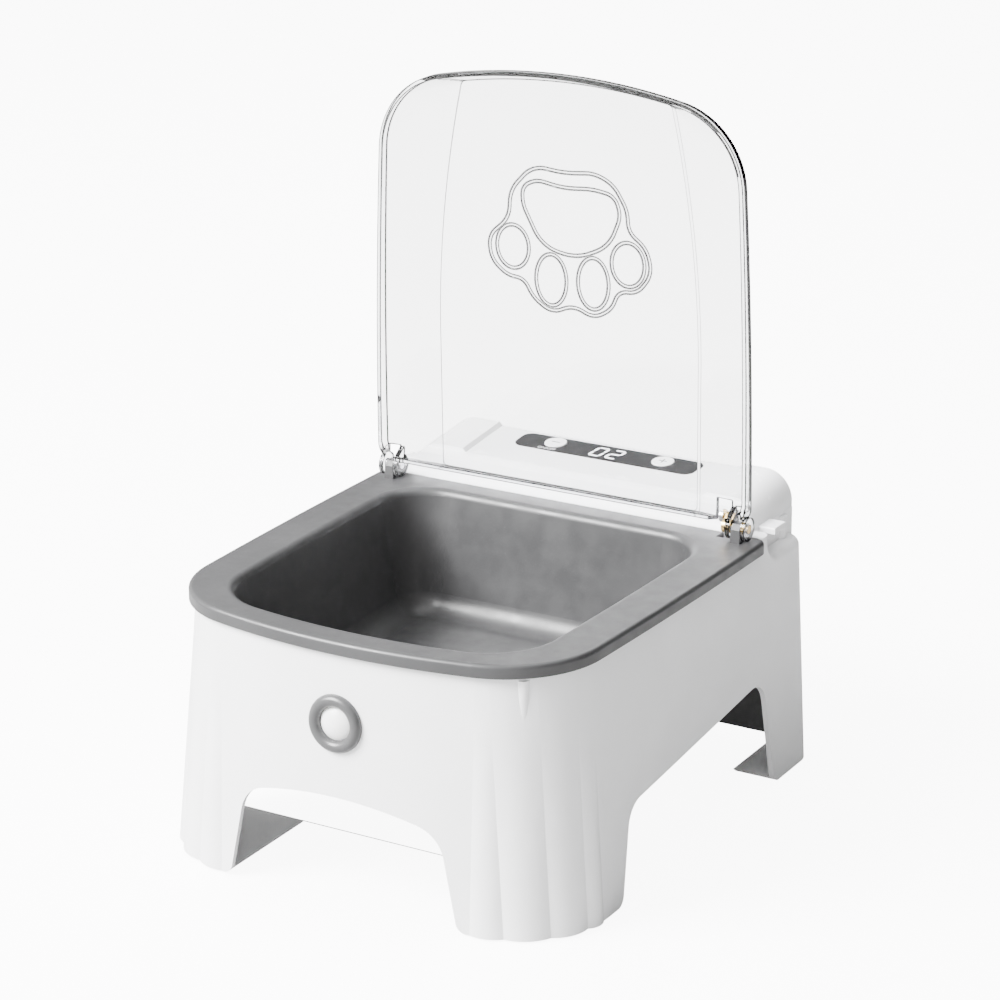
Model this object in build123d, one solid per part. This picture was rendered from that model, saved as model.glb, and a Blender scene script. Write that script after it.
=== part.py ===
"""Automatic pet feeder: a lift-out bowl with a clear powered lid on a four-legged housing.

Millimetres, +Z up, the front of the feeder towards -Y. The origin is on the floor, under the
middle of the bowl. The lid is shown open, as it stands while the pet eats.
"""

import os
from math import acos, atan, atan2, cos, degrees, pi, radians, sin, sqrt, tan

from build123d import *

# ---------------------------------------------------------------- driving dimensions
# Rim of the bowl: bowed front, rounded front corners and nearly straight sides.
RIM_HALF_WIDTH = 110.0
RIM_FRONT = 135.0
RIM_REAR = 85.0
RIM_CORNER_R = 50.0
RIM_REAR_R = 6.0
RIM_TOP_Z = 132.0
RIM_DEPTH = 6.3
FRONT_BOW_R = 310.0
SIDE_BOW_R = 3500.0
SIDE_BOW_Y = 68.0

# Bowl under the rim.
BOWL_WALL = 2.2
BOWL_SHEET = 2.4
OPENING_HALF_WIDTH = 86.5
OPENING_FRONT = 119.0
OPENING_REAR = 69.5
OPENING_CORNER_R = 35.0
OPENING_REAR_R = 26.0
BOWL_TAPER = 11.0
BOWL_FLOOR_Z = 70.0
BOWL_FLOOR_FILLET = 12.0
BOWL_LIP_FILLET = 4.0
RIM_EDGE_FILLET = 2.0
RIM_RIB_INSET = 9.0
BOWL_CLEARANCE = 1.5
BOWL_REST_GAP = 0.3

# Housing shell: leans in from the floor to the shelf under the rim.
WALL = 2.6
FOOT_HALF_WIDTH = 113.8
FOOT_FRONT = 137.3
SHELL_CORNER_R = 47.5
SHELL_REAR = 138.0
SHELL_REAR_R = 14.0
SHELL_RIM_INSET = 3.0
FOOT_SIDE_BOW_R = 30000.0
SHELL_Z0 = 1.0
SHELF_Z = 125.0
DECK_Z = 131.5
DECK_FRONT = 85.5
SHOULDER_FRONT = 94.0
SHOULDER_Z = 118.5
SHOULDER_RUN = 12.0
SHOULDER_EDGE_R = 4.0
FLUTE_TOP_Z = 108.0
FLUTE_DEPTH = 1.8
FLUTE_START_X = 67.6
FLUTE_ANGLES = (-68.8, -42.7, -19.2, -5.8)
LEG_CORNER_R = 6.0

# Arches between the legs.
FRONT_ARCH_HALF = 62.0
FRONT_ARCH_TOP_HALF = 52.6
FRONT_ARCH_SIDE_Z = 47.0
FRONT_ARCH_CROWN_Z = 55.8
FRONT_ARCH_R = 18.0
SIDE_ARCH_FRONT = -68.0
SIDE_ARCH_REAR = 92.0
SIDE_ARCH_FRONT_TOP = (-56.5, 46.0)
SIDE_ARCH_REAR_TOP = (82.8, 60.0)
SIDE_ARCH_R = 14.0
REAR_ARCH_HALF = 92.0
REAR_ARCH_TOP_HALF = 86.0
REAR_ARCH_Z = 12.0

# Feet.
FOOT_R = 7.0
FOOT_POCKET = 0.6
FRONT_FOOT = (86.0, -102.0)
REAR_FOOT = (102.0, 114.0)

# Base cover: a plate under the bowl that steps down behind it.
COVER_SHEET = 2.5
COVER_GAP = 0.4
COVER_FRONT_Z = 60.0
COVER_REAR_Z = 24.0
COVER_STEP_Y = 99.0

# Control hood on the rear deck.
HOOD_HALF_WIDTH = 98.5
HOOD_FRONT = 92.5
HOOD_REAR = 136.0
HOOD_WALL = 2.2
HOOD_WALL_TOP_Z = 142.0
HOOD_BROW_Y = 98.0
HOOD_SLOPE = 5.9
HOOD_END_R = 15.0
HOOD_END_RISE = 1.9
HOOD_SCREWS = ((48.0, 99.5), (92.5, 131.5))
LINK_SLOT_X = (86.0, 90.0)
LINK_SLOT_TOP = 141.3
CONTROL_HALF_WIDTH = 68.0
CONTROL_REF_Y = 116.5
CONTROL_REF_Z = 145.7

# Label, keys and display on the sloping control face.
LABEL_LENGTH = 103.0
LABEL_WIDTH = 17.0
LABEL_R = 5.5
LABEL_SHEET = 0.8
LABEL_PROUD = 0.2
LABEL_MID = 8.3
KEY_X = 31.0
KEY_MID = 10.2
KEY_R = 5.8
KEY_GAP = 0.3
KEY_HEAD_PROUD = 0.4
KEY_FLANGE_R = 6.5
KEY_FLANGE = 1.0
KEY_TRAVEL = 0.5
DISPLAY_SIZE = (24.0, 13.0)
DISPLAY_GAP = 0.3
BOARD_SHEET = 1.6
BOARD_DEPTH = 9.2
BOARD_SIZE = (108.0, 25.0)
BOARD_MID = 3.0
BOARD_EDGE = 3.6
BOARD_SCREW_GRIP = 5.0
SWITCH_SIZE = 6.2
SWITCH_HEIGHT = 3.4
SWITCH_FLOOR = 0.6
PLUNGER_R = 1.75
PLUNGER_GAP = 0.1

# Catches at the ends of the hood.
CLIP_OUTER = 107.5
CLIP_FRONT = 97.6
CLIP_REAR = 110.6
CLIP_LOW = 130.0
CLIP_TOP = 133.0
CLIP_EDGE_R = 0.8

# Openings in the deck under the hood.
WIRE_HATCH_X = 45.0
WIRE_HATCH_FRONT = 106.0
WIRE_HATCH_REAR = 128.0
GEAR_HATCH_LOW = 61.0
GEAR_HATCH_HIGH = 90.5
GEAR_HATCH_FRONT = 95.6
GEAR_HATCH_REAR = 127.5
DECK_CUT = (DECK_Z - 2 * WALL, DECK_Z + 1)

# Screw posts and bosses.
SCREW_R = 1.3
SCREW_HEAD_R = 2.7
SCREW_HEAD = 1.8
SCREW_GRIP = 8.0
BOSS_R = 3.6
FRAME_BOSS = 2.4
POST_FRONT_X = 85.5
POST_FRONT_Y = -113.0
POST_MID_X = 97.0
POST_MID_Y = 68.0
POST_REAR_X = 97.0
POST_REAR_Y = 125.0

# Motion sensor in the front wall.
SENSOR_Z = 91.7
SENSOR_RING_R = 14.0
SENSOR_RING_PROUD = 3.2
SENSOR_COLLAR_R = 11.0
SENSOR_LENS_R = 8.0
SENSOR_LENS_RISE = 3.0
SENSOR_BOARD = (24.0, 20.0, 1.6)

# Hinge of the lid and its two lugs.
HINGE_Y = 76.0
HINGE_Z = 138.6
LUG_X = 98.5
LUG_WIDTH = 5.0
LUG_FRONT = 71.0
LUG_REAR = 83.0
LUG_TOP_Z = 141.0
LUG_STEP = 2.0
LUG_HEAD_R = 4.4
LUG_PEG_R = 1.4
LUG_PEG_Y = 79.5
PIN_R = 2.0
PIN_GAP = 0.05
CHEEK_GAP = 0.4
CHEEK_WIDTH = 2.4
CHEEK_R = 6.0

# Lid, drawn closed and then opened about the hinge.
LID_OPEN = 89.0
LID_HALF_WIDTH = 104.2
LID_FRONT = 137.7
LID_CORNER_R = 42.0
LID_BOW_R = 330.0
LID_SIDE_BOW_R = 3000.0
LID_REAR_R = 9.0
LID_SHEET = 2.2
LID_GAP = 1.2
LID_REAR_LOW = 72.5
LID_REAR_HIGH = 76.6
SKIRT_REAR = 7.0
SKIRT_FRONT = 4.5
PANEL_REAR = 14.0
PANEL_FRONT = 12.0
PANEL_HALF_WIDTH = 73.5
PANEL_FRONT_HALF = 59.0
PANEL_INSET = 4.3
PANEL_CORNER_R = 3.0
CREASE_STRAIGHT = 64.5
CREASE_SPLIT = 0.45
CHEEK_WEB = 14.0
NOTCH_R = 10.2
LINK_NOTCH_R = 12.6
LINK_NOTCH_HALF = 3.5

# Paw outline on the lid panel: places are (across, from the hinge).
PAW_RIDGE = 1.5
PAW_RISE = 0.5
PAW_MID_X = -2.0
PAW_CONTOUR = (
    (-17, 165), (-30, 151), (-30.5, 137), (-42.5, 126.5), (-41, 114.5), (-32, 107.5), (-22.5, 107),
    (-17.5, 98), (-7, 91.5), (5, 97), (16.5, 92), (26.5, 98), (30, 107.5), (40.5, 108), (48.5, 118.5),
    (45.5, 131), (35.5, 138), (35, 148.5), (27.5, 160.5), (17, 165), (0, 163),
)
PAW_PAD = (
    (-23, 154), (-23, 145), (-12.5, 125), (7, 121), (25, 129.5), (31.5, 145.5), (28, 155),
    (16, 157), (0, 155.5), (-15, 158),
)
PAW_TOES = (
    (-28.7, 122.7, 9, 11), (-7.2, 108.3, 8.5, 13), (16.2, 109.5, 8.5, 13), (35.3, 121.6, 9, 11),
)

# Drive crank, link and gear train.
CRANK_RADIUS = 5.0
CRANK_REST = 44.5
CRANK_PIN_R = 1.5
HUB_R = 3.5
HUB_WIDTH = 3.0
LINK_X = 88.0
LINK_SHEET = 2.0
LINK_HEIGHT = 4.0
LINK_EYE_R = 3.2
OUTPUT_Y = 104.0
OUTPUT_Z = 130.0
OUTPUT_SHAFT_R = 2.0
MODULE = 0.6
SECTOR_TEETH = 36
WHEEL_TEETH = 38
SECTOR_PINION_TEETH = 12
PINION_TEETH = 10
TRAIN_TILT = 60.0
AXLE_R = 1.0
FACE_WIDTH = 3.2
PRESSURE_ANGLE = 25.0
ADDENDUM = 0.9
DEDENDUM = 1.2
BACKLASH = 0.12
FLANK_STEPS = 3
LAYER_A = 76.0
STAGE_GAP = 1.4
HUB_RUN = 0.6
SECTOR_HUB_R = 4.0
STAGE_HUB_R = 1.9
FRAME_SHEET = 2.5
FRAME_INNER = 62.0
FRAME_OUTER = 80.5
FRAME_RUN = 0.4
FRAME_TOP = 6.0
FRAME_FRONT = 6.0
FRAME_MARGIN = 3.4
WEB = 2.0
FLANGE_SHEET = 3.0
FLANGE_EDGE = 4.0
CRANK_ARM_X = 83.5
CRANK_BOSS_R = 2.4
PIN_OVERRUN = 0.5
HOOK_GAP = 0.1
MOTOR_R = 12.0
MOTOR_LENGTH = 30.0
MOTOR_BOSS = 2.0
MOTOR_BOSS_R = 3.0
SHAFT_R = 1.0
SMALL_SCREW_R = 0.8
SMALL_HEAD_R = 1.6
SMALL_HEAD = 0.9

FRAME_SCREW_X = 56.5
FRAME_SCREW_FRONT = 101.0
FRAME_SCREW_REAR = 121.0

# Batteries, socket and wires.
CELL_R = 7.25
CELL_LENGTH = 50.5
CELL_PITCH = 15.0
CELL_GAP = 0.4
CELL_SPLIT = 0.3
CONTACT_ROOM = 1.6
CONTACT_SHEET = 0.5
BATTERY_Y = 117.7
BATTERY_WALL = 1.8
DOOR_SHEET = 1.2
DOOR_LEDGE = 2.5
DOOR_TONGUE = 11.0
SOCKET_X = -60.0
SOCKET_Z = 62.0
SOCKET_SIZE = 11.0
SOCKET_DEPTH = 13.0
SOCKET_BORE_R = 2.75
SOCKET_PIN_R = 1.0
WIRE_R = 1.1
MOTOR_LEAD_X = 12.0
BATTERY_LEAD_X = -22.0
SOCKET_LEAD_X = -34.0
SENSOR_LEAD_X = -41.0
SENSOR_PLUG = 4.0
SENSOR_PLUG_X = 5.0
LEAD_SIDE_GAP = 3.8


# ---------------------------------------------------------------- shapes used all over
def block(x_span, y_span, z_span):
    """Axis-aligned block between two corners, from (low, high) along each axis."""
    size = [high - low for low, high in (x_span, y_span, z_span)]
    middle = [(high + low) / 2 for low, high in (x_span, y_span, z_span)]
    return Pos(*middle) * Box(*size)


def rod_x(x_span, y, z, radius):
    """Round bar along X."""
    low, high = x_span
    return Pos((low + high) / 2, y, z) * Rot(0, 90, 0) * Cylinder(radius, high - low)


def rod_z(x, y, z_span, radius):
    """Round bar along Z."""
    low, high = z_span
    return Pos(x, y, (low + high) / 2) * Cylinder(radius, high - low)


def both_sides(solid):
    """The solid and its mirror image across the middle plane."""
    return [solid, mirror(solid, about=Plane.YZ)]


def about(angle, radius, centre=Vector(0, 0)):
    """Point at an angle in degrees and a radius from a centre."""
    turn = radians(angle)
    return centre + Vector(cos(turn), sin(turn)) * radius


def side_profile(points, x_span):
    """Prism along X whose section is a list of (y, z) points."""
    low, high = x_span
    seat = Plane(((low + high) / 2, 0, 0), (0, 1, 0), (1, 0, 0))
    face = make_face(Polyline(*points, close=True))
    return extrude(seat * face, (high - low) / 2, both=True)


# ---------------------------------------------------------------- bowed plan outlines
class Outline:
    """Plan outline with a bowed front, filleted front corners, bowed sides and a flat rear.

    The corner centre is where the parallel curves of the front bow and the side bow meet.
    """

    def __init__(self, half_width, front, rear, corner_r, rear_r, front_bow, side_bow):
        self.rear = rear
        self.corner_r = corner_r
        self.rear_r = rear_r
        self.front_bow = front_bow
        self.side_bow = side_bow
        self.bow_centre = Vector(0, front_bow - front)
        self.side_centre = Vector(half_width - side_bow, SIDE_BOW_Y)
        self.corner = self.find_corner()
        self.rear_corner = self.find_rear_corner()

    def find_corner(self):
        """Centre of the right front corner."""
        reach_front = self.front_bow - self.corner_r
        reach_side = self.side_bow - self.corner_r
        line = self.side_centre - self.bow_centre
        span = line.length
        along = (reach_front**2 - reach_side**2 + span**2) / (2 * span)
        height = sqrt(reach_front**2 - along**2)
        foot = self.bow_centre + line.normalized() * along
        across = Vector(-line.Y, line.X).normalized() * height
        return max((foot + across, foot - across), key=lambda point: point.X)

    def find_rear_corner(self):
        """Centre of the right rear corner."""
        y = self.rear - self.rear_r
        reach = self.side_bow - self.rear_r
        return Vector(self.side_centre.X + sqrt(reach**2 - (y - self.side_centre.Y) ** 2), y)

    def shifted(self, grow):
        """The parallel outline that lies further out by the given distance."""
        copy = object.__new__(Outline)
        copy.__dict__.update(self.__dict__)
        copy.rear = self.rear + grow
        copy.corner_r = self.corner_r + grow
        copy.rear_r = self.rear_r + grow
        copy.front_bow = self.front_bow + grow
        copy.side_bow = self.side_bow + grow
        return copy

    def front_tangent(self):
        """Where the front bow runs into the right corner."""
        return self.bow_centre + (self.corner - self.bow_centre).normalized() * self.front_bow

    def side_tangent(self):
        """Where the right corner runs into the side."""
        return self.side_centre + (self.corner - self.side_centre).normalized() * self.side_bow

    def rear_side_tangent(self):
        """Where the side runs into the right rear corner."""
        reach = (self.rear_corner - self.side_centre).normalized() * self.side_bow
        return self.side_centre + reach

    def front_point(self, x):
        """Point of the front bow at a distance across."""
        return Vector(x, self.bow_centre.Y - sqrt(self.front_bow**2 - x**2))

    def right_edges(self, grooves=None, bulge=0.0):
        """Edges from the middle of the front round to the middle of the rear."""
        start = self.front_tangent()
        end = self.side_tangent()
        edges = []
        if grooves is None:
            edges.append(arc_about(self.bow_centre, self.front_point(0), start))
            edges.append(arc_about(self.corner, start, end))
        else:
            edges += self.fluted_corner(grooves, bulge)
        tail = self.rear_side_tangent()
        rear_end = Vector(self.rear_corner.X, self.rear)
        edges.append(arc_about(self.side_centre, end, tail))
        edges.append(arc_about(self.rear_corner, tail, rear_end))
        edges.append(Line(rear_end, Vector(0, self.rear)))
        return edges

    def fluted_corner(self, grooves, bulge):
        """Front bow and corner, with a lobe bulging out between each two grooves."""
        first, angles = grooves
        points = [self.front_point(first)]
        points += [about(angle, self.corner_r, self.corner) for angle in angles]
        edges = [arc_about(self.bow_centre, self.front_point(0), points[0])]
        for start, end in zip(points, points[1:]):
            middle = (start + end) / 2
            outward = (middle - self.corner).normalized()
            on_arc = self.corner + outward * self.corner_r
            edges.append(ThreePointArc(start, on_arc + outward * bulge, end))
        edges.append(arc_about(self.corner, points[-1], self.side_tangent()))
        return edges

    def wire(self, z=0.0, grooves=None, bulge=0.0):
        """Closed outline at a height."""
        right = self.right_edges(grooves, bulge)
        left = [edge.mirror(Plane.YZ) for edge in reversed(right)]
        loop = Wire(right + left)
        return loop.moved(Location((0, 0, z)))

    def prism(self, z_low, z_high):
        """Upright solid inside the outline."""
        return Solid.extrude(Face(self.wire(z_low)), Vector(0, 0, z_high - z_low))


def arc_about(centre, start, end):
    """Arc about a centre, the short way between two points on it."""
    outward = ((start - centre) + (end - centre)).normalized()
    return ThreePointArc(start, centre + outward * (start - centre).length, end)


def rim_outline():
    """Outer edge of the bowl's rim."""
    return Outline(
        RIM_HALF_WIDTH, RIM_FRONT, RIM_REAR, RIM_CORNER_R, RIM_REAR_R, FRONT_BOW_R, SIDE_BOW_R
    )


def shell_outline(z, inset=0.0):
    """Outline of the housing at a height: it leans in from the floor to the shelf."""
    share = z / SHELF_Z
    top_half = RIM_HALF_WIDTH - SHELL_RIM_INSET
    top_front = RIM_FRONT - SHELL_RIM_INSET
    half_width = FOOT_HALF_WIDTH + (top_half - FOOT_HALF_WIDTH) * share
    front = FOOT_FRONT + (top_front - FOOT_FRONT) * share
    side_curve = 1 / FOOT_SIDE_BOW_R + (1 / SIDE_BOW_R - 1 / FOOT_SIDE_BOW_R) * share
    outline = Outline(
        half_width, front, SHELL_REAR, SHELL_CORNER_R, SHELL_REAR_R, FRONT_BOW_R, 1 / side_curve
    )
    return outline.shifted(-inset)


def bowl_outline(inset=0.0):
    """Edge of the bowl's opening, or of its narrower floor."""
    outline = Outline(
        OPENING_HALF_WIDTH,
        OPENING_FRONT,
        OPENING_REAR,
        OPENING_CORNER_R,
        OPENING_REAR_R,
        FRONT_BOW_R,
        SIDE_BOW_R,
    )
    return outline.shifted(-inset)


# ---------------------------------------------------------------- housing shell
def shell_body(inset, z_low, z_high, fluted):
    """Leaning solid of the housing, with flutes on the front corners that fade out upward."""
    grooves = (FLUTE_START_X, FLUTE_ANGLES) if fluted else None
    wires = []
    for z in (z_low, FLUTE_TOP_Z, z_high):
        bulge = FLUTE_DEPTH * max(0.0, 1 - z / FLUTE_TOP_Z) if fluted else 0.0
        wires.append(shell_outline(z, inset).wire(z, grooves, bulge))
    return Solid.make_loft(wires, ruled=True)


def arch_face(points, fillets):
    """Flat face of an arch, with its corners rounded: points and radii run side by side."""
    face = make_face(Polyline(*points, close=True))
    for point, radius in zip(points, fillets):
        if radius:
            corner = face.vertices().sort_by_distance(Vector(*point))[0]
            face = fillet(corner, radius)
    return face


def front_arch():
    """Opening between the front legs, with a slightly bowed crown."""
    reach = FRONT_ARCH_HALF + 3 * LEG_CORNER_R
    points = [
        (-reach, -SHELL_Z0),
        (-reach, SHELL_Z0),
        (-FRONT_ARCH_HALF, SHELL_Z0),
        (-FRONT_ARCH_TOP_HALF, FRONT_ARCH_SIDE_Z),
        (FRONT_ARCH_TOP_HALF, FRONT_ARCH_SIDE_Z),
        (FRONT_ARCH_HALF, SHELL_Z0),
        (reach, SHELL_Z0),
        (reach, -SHELL_Z0),
    ]
    crown = ThreePointArc(points[3], (0, FRONT_ARCH_CROWN_Z), points[4])
    sides = Polyline(*points[4:], *points[:4])
    face = make_face([crown, sides])
    corner = LEG_CORNER_R
    for index, radius in ((2, corner), (3, FRONT_ARCH_R), (4, FRONT_ARCH_R), (5, corner)):
        face = fillet(face.vertices().sort_by_distance(Vector(*points[index]))[0], radius)
    front = -FOOT_FRONT - 2 * WALL
    length = front - SIDE_ARCH_FRONT
    return extrude(Plane((0, front, 0), (1, 0, 0), (0, -1, 0)) * face, length)


def side_arch():
    """Opening between the front and rear legs, right through both sides."""
    reach = 3 * LEG_CORNER_R
    points = [
        (SIDE_ARCH_FRONT - reach, -SHELL_Z0),
        (SIDE_ARCH_FRONT - reach, SHELL_Z0),
        (SIDE_ARCH_FRONT, SHELL_Z0),
        SIDE_ARCH_FRONT_TOP,
        SIDE_ARCH_REAR_TOP,
        (SIDE_ARCH_REAR, SHELL_Z0),
        (SIDE_ARCH_REAR + reach, SHELL_Z0),
        (SIDE_ARCH_REAR + reach, -SHELL_Z0),
    ]
    corner = LEG_CORNER_R
    face = arch_face(points, [0, 0, corner, SIDE_ARCH_R, SIDE_ARCH_R, corner, 0, 0])
    half = FOOT_HALF_WIDTH + 2 * WALL
    return extrude(Plane((-half, 0, 0), (0, 1, 0), (1, 0, 0)) * face, 2 * half)


def rear_arch():
    """Low opening between the rear legs."""
    reach = REAR_ARCH_HALF + 2 * LEG_CORNER_R
    points = [
        (-reach, -SHELL_Z0),
        (-reach, SHELL_Z0),
        (-REAR_ARCH_HALF, SHELL_Z0),
        (-REAR_ARCH_TOP_HALF, REAR_ARCH_Z),
        (REAR_ARCH_TOP_HALF, REAR_ARCH_Z),
        (REAR_ARCH_HALF, SHELL_Z0),
        (reach, SHELL_Z0),
        (reach, -SHELL_Z0),
    ]
    corner = LEG_CORNER_R / 2
    face = arch_face(points, [0, 0, corner, corner, corner, corner, 0, 0])
    length = SHELL_REAR + 2 * WALL - SIDE_ARCH_REAR
    return extrude(Plane((0, SIDE_ARCH_REAR, 0), (1, 0, 0), (0, -1, 0)) * face, -length)


def shoulder_notch(inset=0.0):
    """Stepped shoulders at the ends of the deck: a rounded front, a flat floor, open outside."""
    inner = HOOD_HALF_WIDTH - inset
    front = SHOULDER_FRONT - inset
    floor_z = SHOULDER_Z - inset
    foot = front + SHOULDER_RUN
    high = DECK_Z + 1
    rear = SHELL_REAR + 2 * WALL
    bend = ThreePointArc(
        (front, DECK_Z),
        (front + SHOULDER_RUN * (1 - sqrt(0.5)) / 2, (DECK_Z + 3 * floor_z) / 4),
        (foot, floor_z),
    )
    rest = Polyline((foot, floor_z), (rear, floor_z), (rear, high), (front, high), (front, DECK_Z))
    face = make_face([bend, rest])
    length = FOOT_HALF_WIDTH - inner
    seat = Plane((inner + length / 2, 0, 0), (0, 1, 0), (1, 0, 0))
    notch = extrude(seat * face, length / 2, both=True)
    return notch + mirror(notch, about=Plane.YZ)


def shell_hollow():
    """Inside of the housing: up to the shelf in front and up to the deck behind."""
    hollow = shell_body(WALL, SHELL_Z0 + WALL, DECK_Z - WALL, False)
    reach = FOOT_HALF_WIDTH
    step = block((-reach, reach), (-FOOT_FRONT, DECK_FRONT + WALL), (SHELF_Z - WALL, DECK_Z))
    return hollow - step - shoulder_notch(WALL)


def shell_form():
    """Outside of the housing as one solid, with its edges rounded."""
    form = shell_body(0, SHELL_Z0, DECK_Z, True)
    reach = FOOT_HALF_WIDTH + WALL
    form -= block((-reach, reach), (-FOOT_FRONT - WALL, DECK_FRONT), (SHELF_Z, DECK_Z + 1))
    form -= shoulder_notch()
    outer = [
        edge
        for edge in form.edges()
        if SHOULDER_Z - 0.1 < edge.center().Z < DECK_Z - 1
        and edge.center().Y > SHOULDER_FRONT
        and (abs(edge.center().X) > HOOD_HALF_WIDTH + 1)
        and edge.length > SHOULDER_EDGE_R
    ]
    return fillet(outer, SHOULDER_EDGE_R)


def base_posts():
    """Places of the screw posts for the base cover: (x, y, lower end, upper end)."""
    front_z = COVER_FRONT_Z + COVER_SHEET
    rear_z = COVER_REAR_Z + COVER_SHEET
    shelf = SHELF_Z - WALL / 2
    deck = DECK_Z - WALL / 2
    return [
        (POST_FRONT_X, POST_FRONT_Y, front_z, shelf),
        (POST_MID_X, POST_MID_Y, front_z, shelf),
        (POST_REAR_X, POST_REAR_Y, rear_z, deck),
    ]


def foot_places():
    """Centres of the four rubber feet."""
    return [(side * x, y) for x, y in (FRONT_FOOT, REAR_FOOT) for side in (-1, 1)]


def housing_shell():
    """White moulded body: four legs, a shelf for the bowl's rim and a deck for the hood."""
    shell = shell_form() - shell_hollow()
    for arch in (front_arch(), side_arch(), rear_arch()):
        shell -= arch
    shell -= bowl_outline(-BOWL_WALL - BOWL_CLEARANCE).prism(SHELF_Z - 2 * WALL, SHELF_Z + 1)
    for x, y, low, high in base_posts():
        for side in (-1, 1):
            shell += rod_z(side * x, y, (low, high), BOSS_R)
    for x, y, low, _ in base_posts():
        for side in (-1, 1):
            shell -= rod_z(side * x, y, (low - 1, low + SCREW_GRIP), SCREW_R)
    for x, y in foot_places():
        shell -= rod_z(x, y, (0, SHELL_Z0 + FOOT_POCKET), FOOT_R)
    shell -= sensor_frame() * Pos(0, 0, -WALL) * Cylinder(SENSOR_COLLAR_R, 6 * WALL)
    shell -= block((-WIRE_HATCH_X, WIRE_HATCH_X), (WIRE_HATCH_FRONT, WIRE_HATCH_REAR), DECK_CUT)
    shell -= block((GEAR_HATCH_LOW, GEAR_HATCH_HIGH), (GEAR_HATCH_FRONT, GEAR_HATCH_REAR), DECK_CUT)
    for x, y in hood_screw_places():
        shell -= rod_z(x, y, DECK_CUT, SCREW_R)
    for x, y in frame_screw_places():
        shell += rod_z(x, y, (DECK_Z - WALL / 2, DECK_Z + FRAME_BOSS), BOSS_R)
        shell -= rod_z(x, y, (DECK_Z - 2 * WALL, DECK_Z + FRAME_BOSS - 0.8), SCREW_R)
    half = SOCKET_SIZE / 2
    x_span = (SOCKET_X - half, SOCKET_X + half)
    z_span = (SOCKET_Z - half, SOCKET_Z + half)
    shell -= block(x_span, (SHELL_REAR - 2 * WALL, SHELL_REAR + 1), z_span)
    return shell


# ---------------------------------------------------------------- motion sensor
def sensor_frame():
    """Seat of the sensor: on the leaning front wall, looking outward."""
    outline = shell_outline(SENSOR_Z)
    lean = (FOOT_FRONT - RIM_FRONT + SHELL_RIM_INSET) / SHELF_Z
    front = outline.front_point(0).Y
    return Plane((0, front, SENSOR_Z), (1, 0, 0), (0, -1, lean)).location


def turned(points):
    """Solid turned about the Z axis from (radius, height) points."""
    corners = [Vector(radius, 0, height) for radius, height in points]
    face = Face(Wire.make_polygon(corners, close=True))
    return Solid.revolve(face, 360, Axis.Z)


def sensor_ring():
    """Grey bezel: a round ring outside the wall and a collar through it."""
    mid = (SENSOR_RING_R + SENSOR_LENS_R) / 2
    half = (SENSOR_RING_R - SENSOR_LENS_R) / 2
    bead = Pos(mid, 0, 0) * scale(Circle(half), (1, SENSOR_RING_PROUD / half, 1))
    bead = Plane.XZ * bead
    ring = revolve(bead, Axis.Z)
    ring &= Pos(0, 0, SENSOR_RING_PROUD / 2) * Cylinder(SENSOR_RING_R, SENSOR_RING_PROUD)
    depth = 2 * WALL
    collar = Pos(0, 0, -depth / 2) * Cylinder(SENSOR_COLLAR_R, depth)
    ring += collar
    ring -= Pos(0, 0, 0) * Cylinder(SENSOR_LENS_R, 4 * depth)
    return sensor_frame() * ring


def sensor_lens():
    """White dome that gathers light from the front, with a stem through the ring."""
    rise = SENSOR_LENS_RISE
    dome_r = (SENSOR_LENS_R**2 + rise**2) / (2 * rise)
    dome = Pos(0, 0, rise - dome_r) * Sphere(dome_r)
    dome &= Pos(0, 0, rise / 2) * Cylinder(SENSOR_LENS_R, rise)
    stem = 2 * WALL
    dome += Pos(0, 0, -stem / 2) * Cylinder(SENSOR_LENS_R, stem)
    return sensor_frame() * dome


def sensor_board():
    """Small circuit board behind the lens, with the sensor can on it."""
    width, height, sheet = SENSOR_BOARD
    back = 2 * WALL
    board = Pos(0, 0, -back - sheet / 2) * Box(width, height, sheet)
    plug = SENSOR_PLUG
    board += Pos(-SENSOR_PLUG_X, 0, -back - sheet / 2 - plug / 2) * Box(plug, 2 * plug, plug + sheet)
    return sensor_frame() * board


# ---------------------------------------------------------------- control hood
def control_z(y):
    """Height of the sloping control face at a distance back."""
    return CONTROL_REF_Z + tan(radians(HOOD_SLOPE)) * (y - CONTROL_REF_Y)


def control_frame():
    """Seat of the label: its front edge in the middle of the control face."""
    slope = radians(HOOD_SLOPE)
    origin = (0, CONTROL_REF_Y, CONTROL_REF_Z)
    return Plane(origin, (1, 0, 0), (0, -sin(slope), cos(slope))).location


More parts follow.
